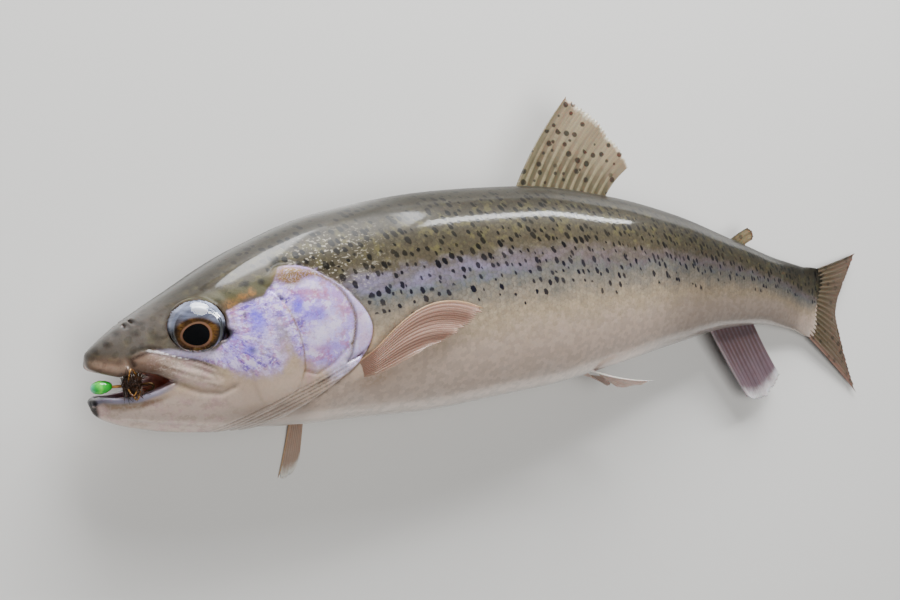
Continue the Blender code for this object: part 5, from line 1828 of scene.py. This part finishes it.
def buildBead(values):
    def shaping(unit):
        unit[:, 1:] *= (1 - 0.16 * ease(0.1, 0.9, unit[:, 0]))[:, None]
        unit[:, 1:] *= 1 + 0.3 * unit[:, 0:1] ** 4 - 0.06 * bump(unit[:, 0:1] - 0.2, 0.09)
        return unit

    def greensAndPaintedHighlight(t, straight, cloud):
        # glassy green from end to end, with a painted highlight ring
        middle, half = values["beadMiddle"][0], values["beadReach"][0]
        place = t.scaled(t.split(straight)[0], 0.5 / half, 0.5 - 0.5 * middle / half, clamp=True)
        return t.ramp(t.plus(place, t.about(cloud, 0.24)), values["beadTones"])

    green = plainMaterial("greenBead", greensAndPaintedHighlight)
    shader = green.node_tree.nodes["Principled BSDF"].inputs
    Wiring(green.node_tree).fill(shader, {"Subsurface Weight": 0.2, "Subsurface Scale": 0.001})
    mesh = ballMesh("flyBead", beadMiddle, values["beadReach"], flyTurn, 24, 32, shaping)
    layPiece("flyBead", mesh, green, "bead", "fly_bead")


def buildBody(values):
    core = ballMesh("core", flyMiddle, np.array(values["reach"]) * values["core"], flyTurn, 20, 28)
    turns = np.linspace(0, 1, 40 * values["windings"])
    start, length = values["threadOn"]
    winding = flyPoint(start + length * turns, 2 * pi * values["windings"] * turns, values["threadOut"])
    thread = tubeMesh("thread", winding, np.full(len(turns), values["threadRadius"]), 6)
    mesh = joinMeshes("flyBody", [core, thread])
    layPiece("flyBody", mesh, plainMaterial("darkDubbing"), "fly_dressing", "fly_body")


def buildLegs(values, rng):
    # amber legs bend out and back, and a thread runs from the bead to the body
    tubes = []
    for k in range(values["loops"]):
        angle = 2 * pi * k / values["loops"] + rng.uniform(-0.3, 0.3)
        share = np.linspace(0, 1, 14)
        out = 0.8 + (values["loopReach"] / 2.1 - 0.8) * np.sin(pi * share) * rng.uniform(0.6, 1.0)
        place = 0.2 + rng.uniform(0.1, 0.3) + 0.4 * share
        leg = flyPoint(place, angle + rng.uniform(-1.0, 1.0) * share, out)
        tubes.append(tubeMesh("leg", leg, np.full(len(share), values["legRadius"]), 6))
    share = np.linspace(*values["neck"], 12)[:, None]
    neck = beadMiddle + (flyMiddle - beadMiddle) * share
    tubes.append(tubeMesh("neck", neck, np.full(len(share), values["neckRadius"]), 8))
    layPiece("flyLegs", joinMeshes("flyLegs", tubes), plainMaterial("amberLegs"), "fly_dressing")


def buildFibres(values, rng):
    path = ((0, 0, 0), (0.35, 0.02, 0), (0.7, 0.1, 0.02), (1.0, 0.24, 0.03))
    radii = np.array((1.0, 0.9, 0.7, 0.3)) * values["fibreRadius"]
    blank = makeObject("fibreBlank", tubeMesh("fibre", path, radii, 4))
    count = values["fibres"]
    u, angle = rng.uniform(0.05, 0.95, count), rng.uniform(0, 2 * pi, count)
    start = flyPoint(u, angle, 0.6)
    further = np.clip(u + rng.uniform(-0.15, 0.4, count), 0.1, 0.9)
    aim = flyPoint(further, angle + rng.normal(0, 0.6, count), 1.5) - start
    carrier = makeObject("carrier", makeMesh("carrier", start, []))
    setField(carrier.data, "aim", aim / np.linalg.norm(aim, axis=1)[:, None])
    setField(carrier.data, "ownSize", rng.uniform(0.5, 1.0, count))
    tree = makeInstanceTree("flyFibres", (("Length", "value"),), layFibres)
    fibres = grow(carrier, tree, "flyFibres",
                  {"Blank": blank, "Length": values["fibreLength"], "Material": plainMaterial("flyHair")})
    bpy.data.objects.remove(blank, do_unlink=True)
    setField(fibres.data, "straight", meshPoints(fibres.data))
    fibres.data.shade_smooth()
    finishPiece(layDown(fibres), None, "fly_dressing")


def buildHook(values):
    along, bend, wire = flyTurn @ np.array((1.0, 0.0, 0.0)), values["hookBend"], values["wire"]
    start = flyMiddle + along * (values["reach"][0] + values["gap"])
    path = [start - along * values["hookSunk"], start]
    for t in np.linspace(0, pi, 17):
        down = np.array((0, -bend * (1 - cos(t)) * values["hookFlatness"], 0))
        path.append(start + along * (values["hookSetback"] + bend * sin(t)) + down)
    path += [path[-1] - along * 0.4, path[-1] - along * 0.9]
    radii = [wire * 0.8] * (len(path) - 2) + [wire * 0.55, 0.04]
    mesh = tubeMesh("flyHook", path, radii)
    layPiece("flyHook", mesh, plainMaterial("bronzeWire"), "hook_wire", "fly_hook")


flyChances = np.random.default_rng(fly["seed"])
buildBead(fly)
buildBody(fly)
buildLegs(fly, flyChances)
buildFibres(fly, flyChances)
buildHook(fly)

# ---- floor and studio light ----
# light: name, place, what it faces, size, power, and whether it is sky that wet surfaces mirror
studio = {
    "floor": "#dddcd9", "floorSize": 3.0, "floorCloud": 0.96, "world": (0.93, 0.96, 1.0),
    "worldStrength": 0.11, "sky": (0.98, 0.99, 1.0), "lamp": (1.0, 0.99, 0.97),
    "lights": (
        ("skyPanel", (45.0, 600.0, 285.0), (45.0, 0.0, 285.0), (470.0, 550.0), 11.5, True),
        ("skyStrip", (800.0, 600.0, 410.0), (800.0, 0.0, 410.0), (980.0, 100.0), 9.0, True),
        ("topPanel", (-160.0, -120.0, 900.0), (0.0, 0.0, 0.0), (700.0, 700.0), 6.5, False),
    ),
}


def makeFloor(values):
    half = values["floorSize"] / 2
    corners = ((-half, -half, 0), (half, -half, 0), (half, half, 0), (-half, half, 0))
    floor = makeObject("floor", makeMesh("floor", corners, ((0, 1, 2, 3),)))
    material, t, shader = makeMaterial("paleBoard")
    cloud = t.noise(t.add("ShaderNodeTexCoord").outputs["Object"], 9.0, 3.0)
    tone = linear(values["floor"])
    darker = tuple(c * values["floorCloud"] for c in tone[:3]) + (1.0,)
    t.fill(shader, {"Base Color": t.mix(cloud, tone, darker), "Roughness": 0.75})
    floor.data.materials.append(material)


def makeLights(values):
    world = bpy.data.worlds.new("studio")
    bpy.context.scene.world = world
    world.use_nodes = True
    sky = world.node_tree.nodes["Background"]
    sky.inputs["Color"].default_value = (*values["world"], 1.0)
    sky.inputs["Strength"].default_value = values["worldStrength"]
    for name, place, target, size, power, mirrored in values["lights"]:
        data = bpy.data.lights.new(name, "AREA")
        data.shape = "ELLIPSE" if name == "skyPanel" else "RECTANGLE"
        data.size, data.size_y = size[0] * mm, size[1] * mm
        data.energy, data.color = power, values["sky" if mirrored else "lamp"]
        light = bpy.data.objects.new(name, data)
        light.visible_glossy = light.visible_transmission = mirrored
        bpy.context.scene.collection.objects.link(light)
        light.location = Vector(place) * mm
        light.rotation_euler = (Vector(target) - Vector(place)).to_track_quat("-Z", "Y").to_euler()


makeFloor(studio)
makeLights(studio)
print("floor and lights set")
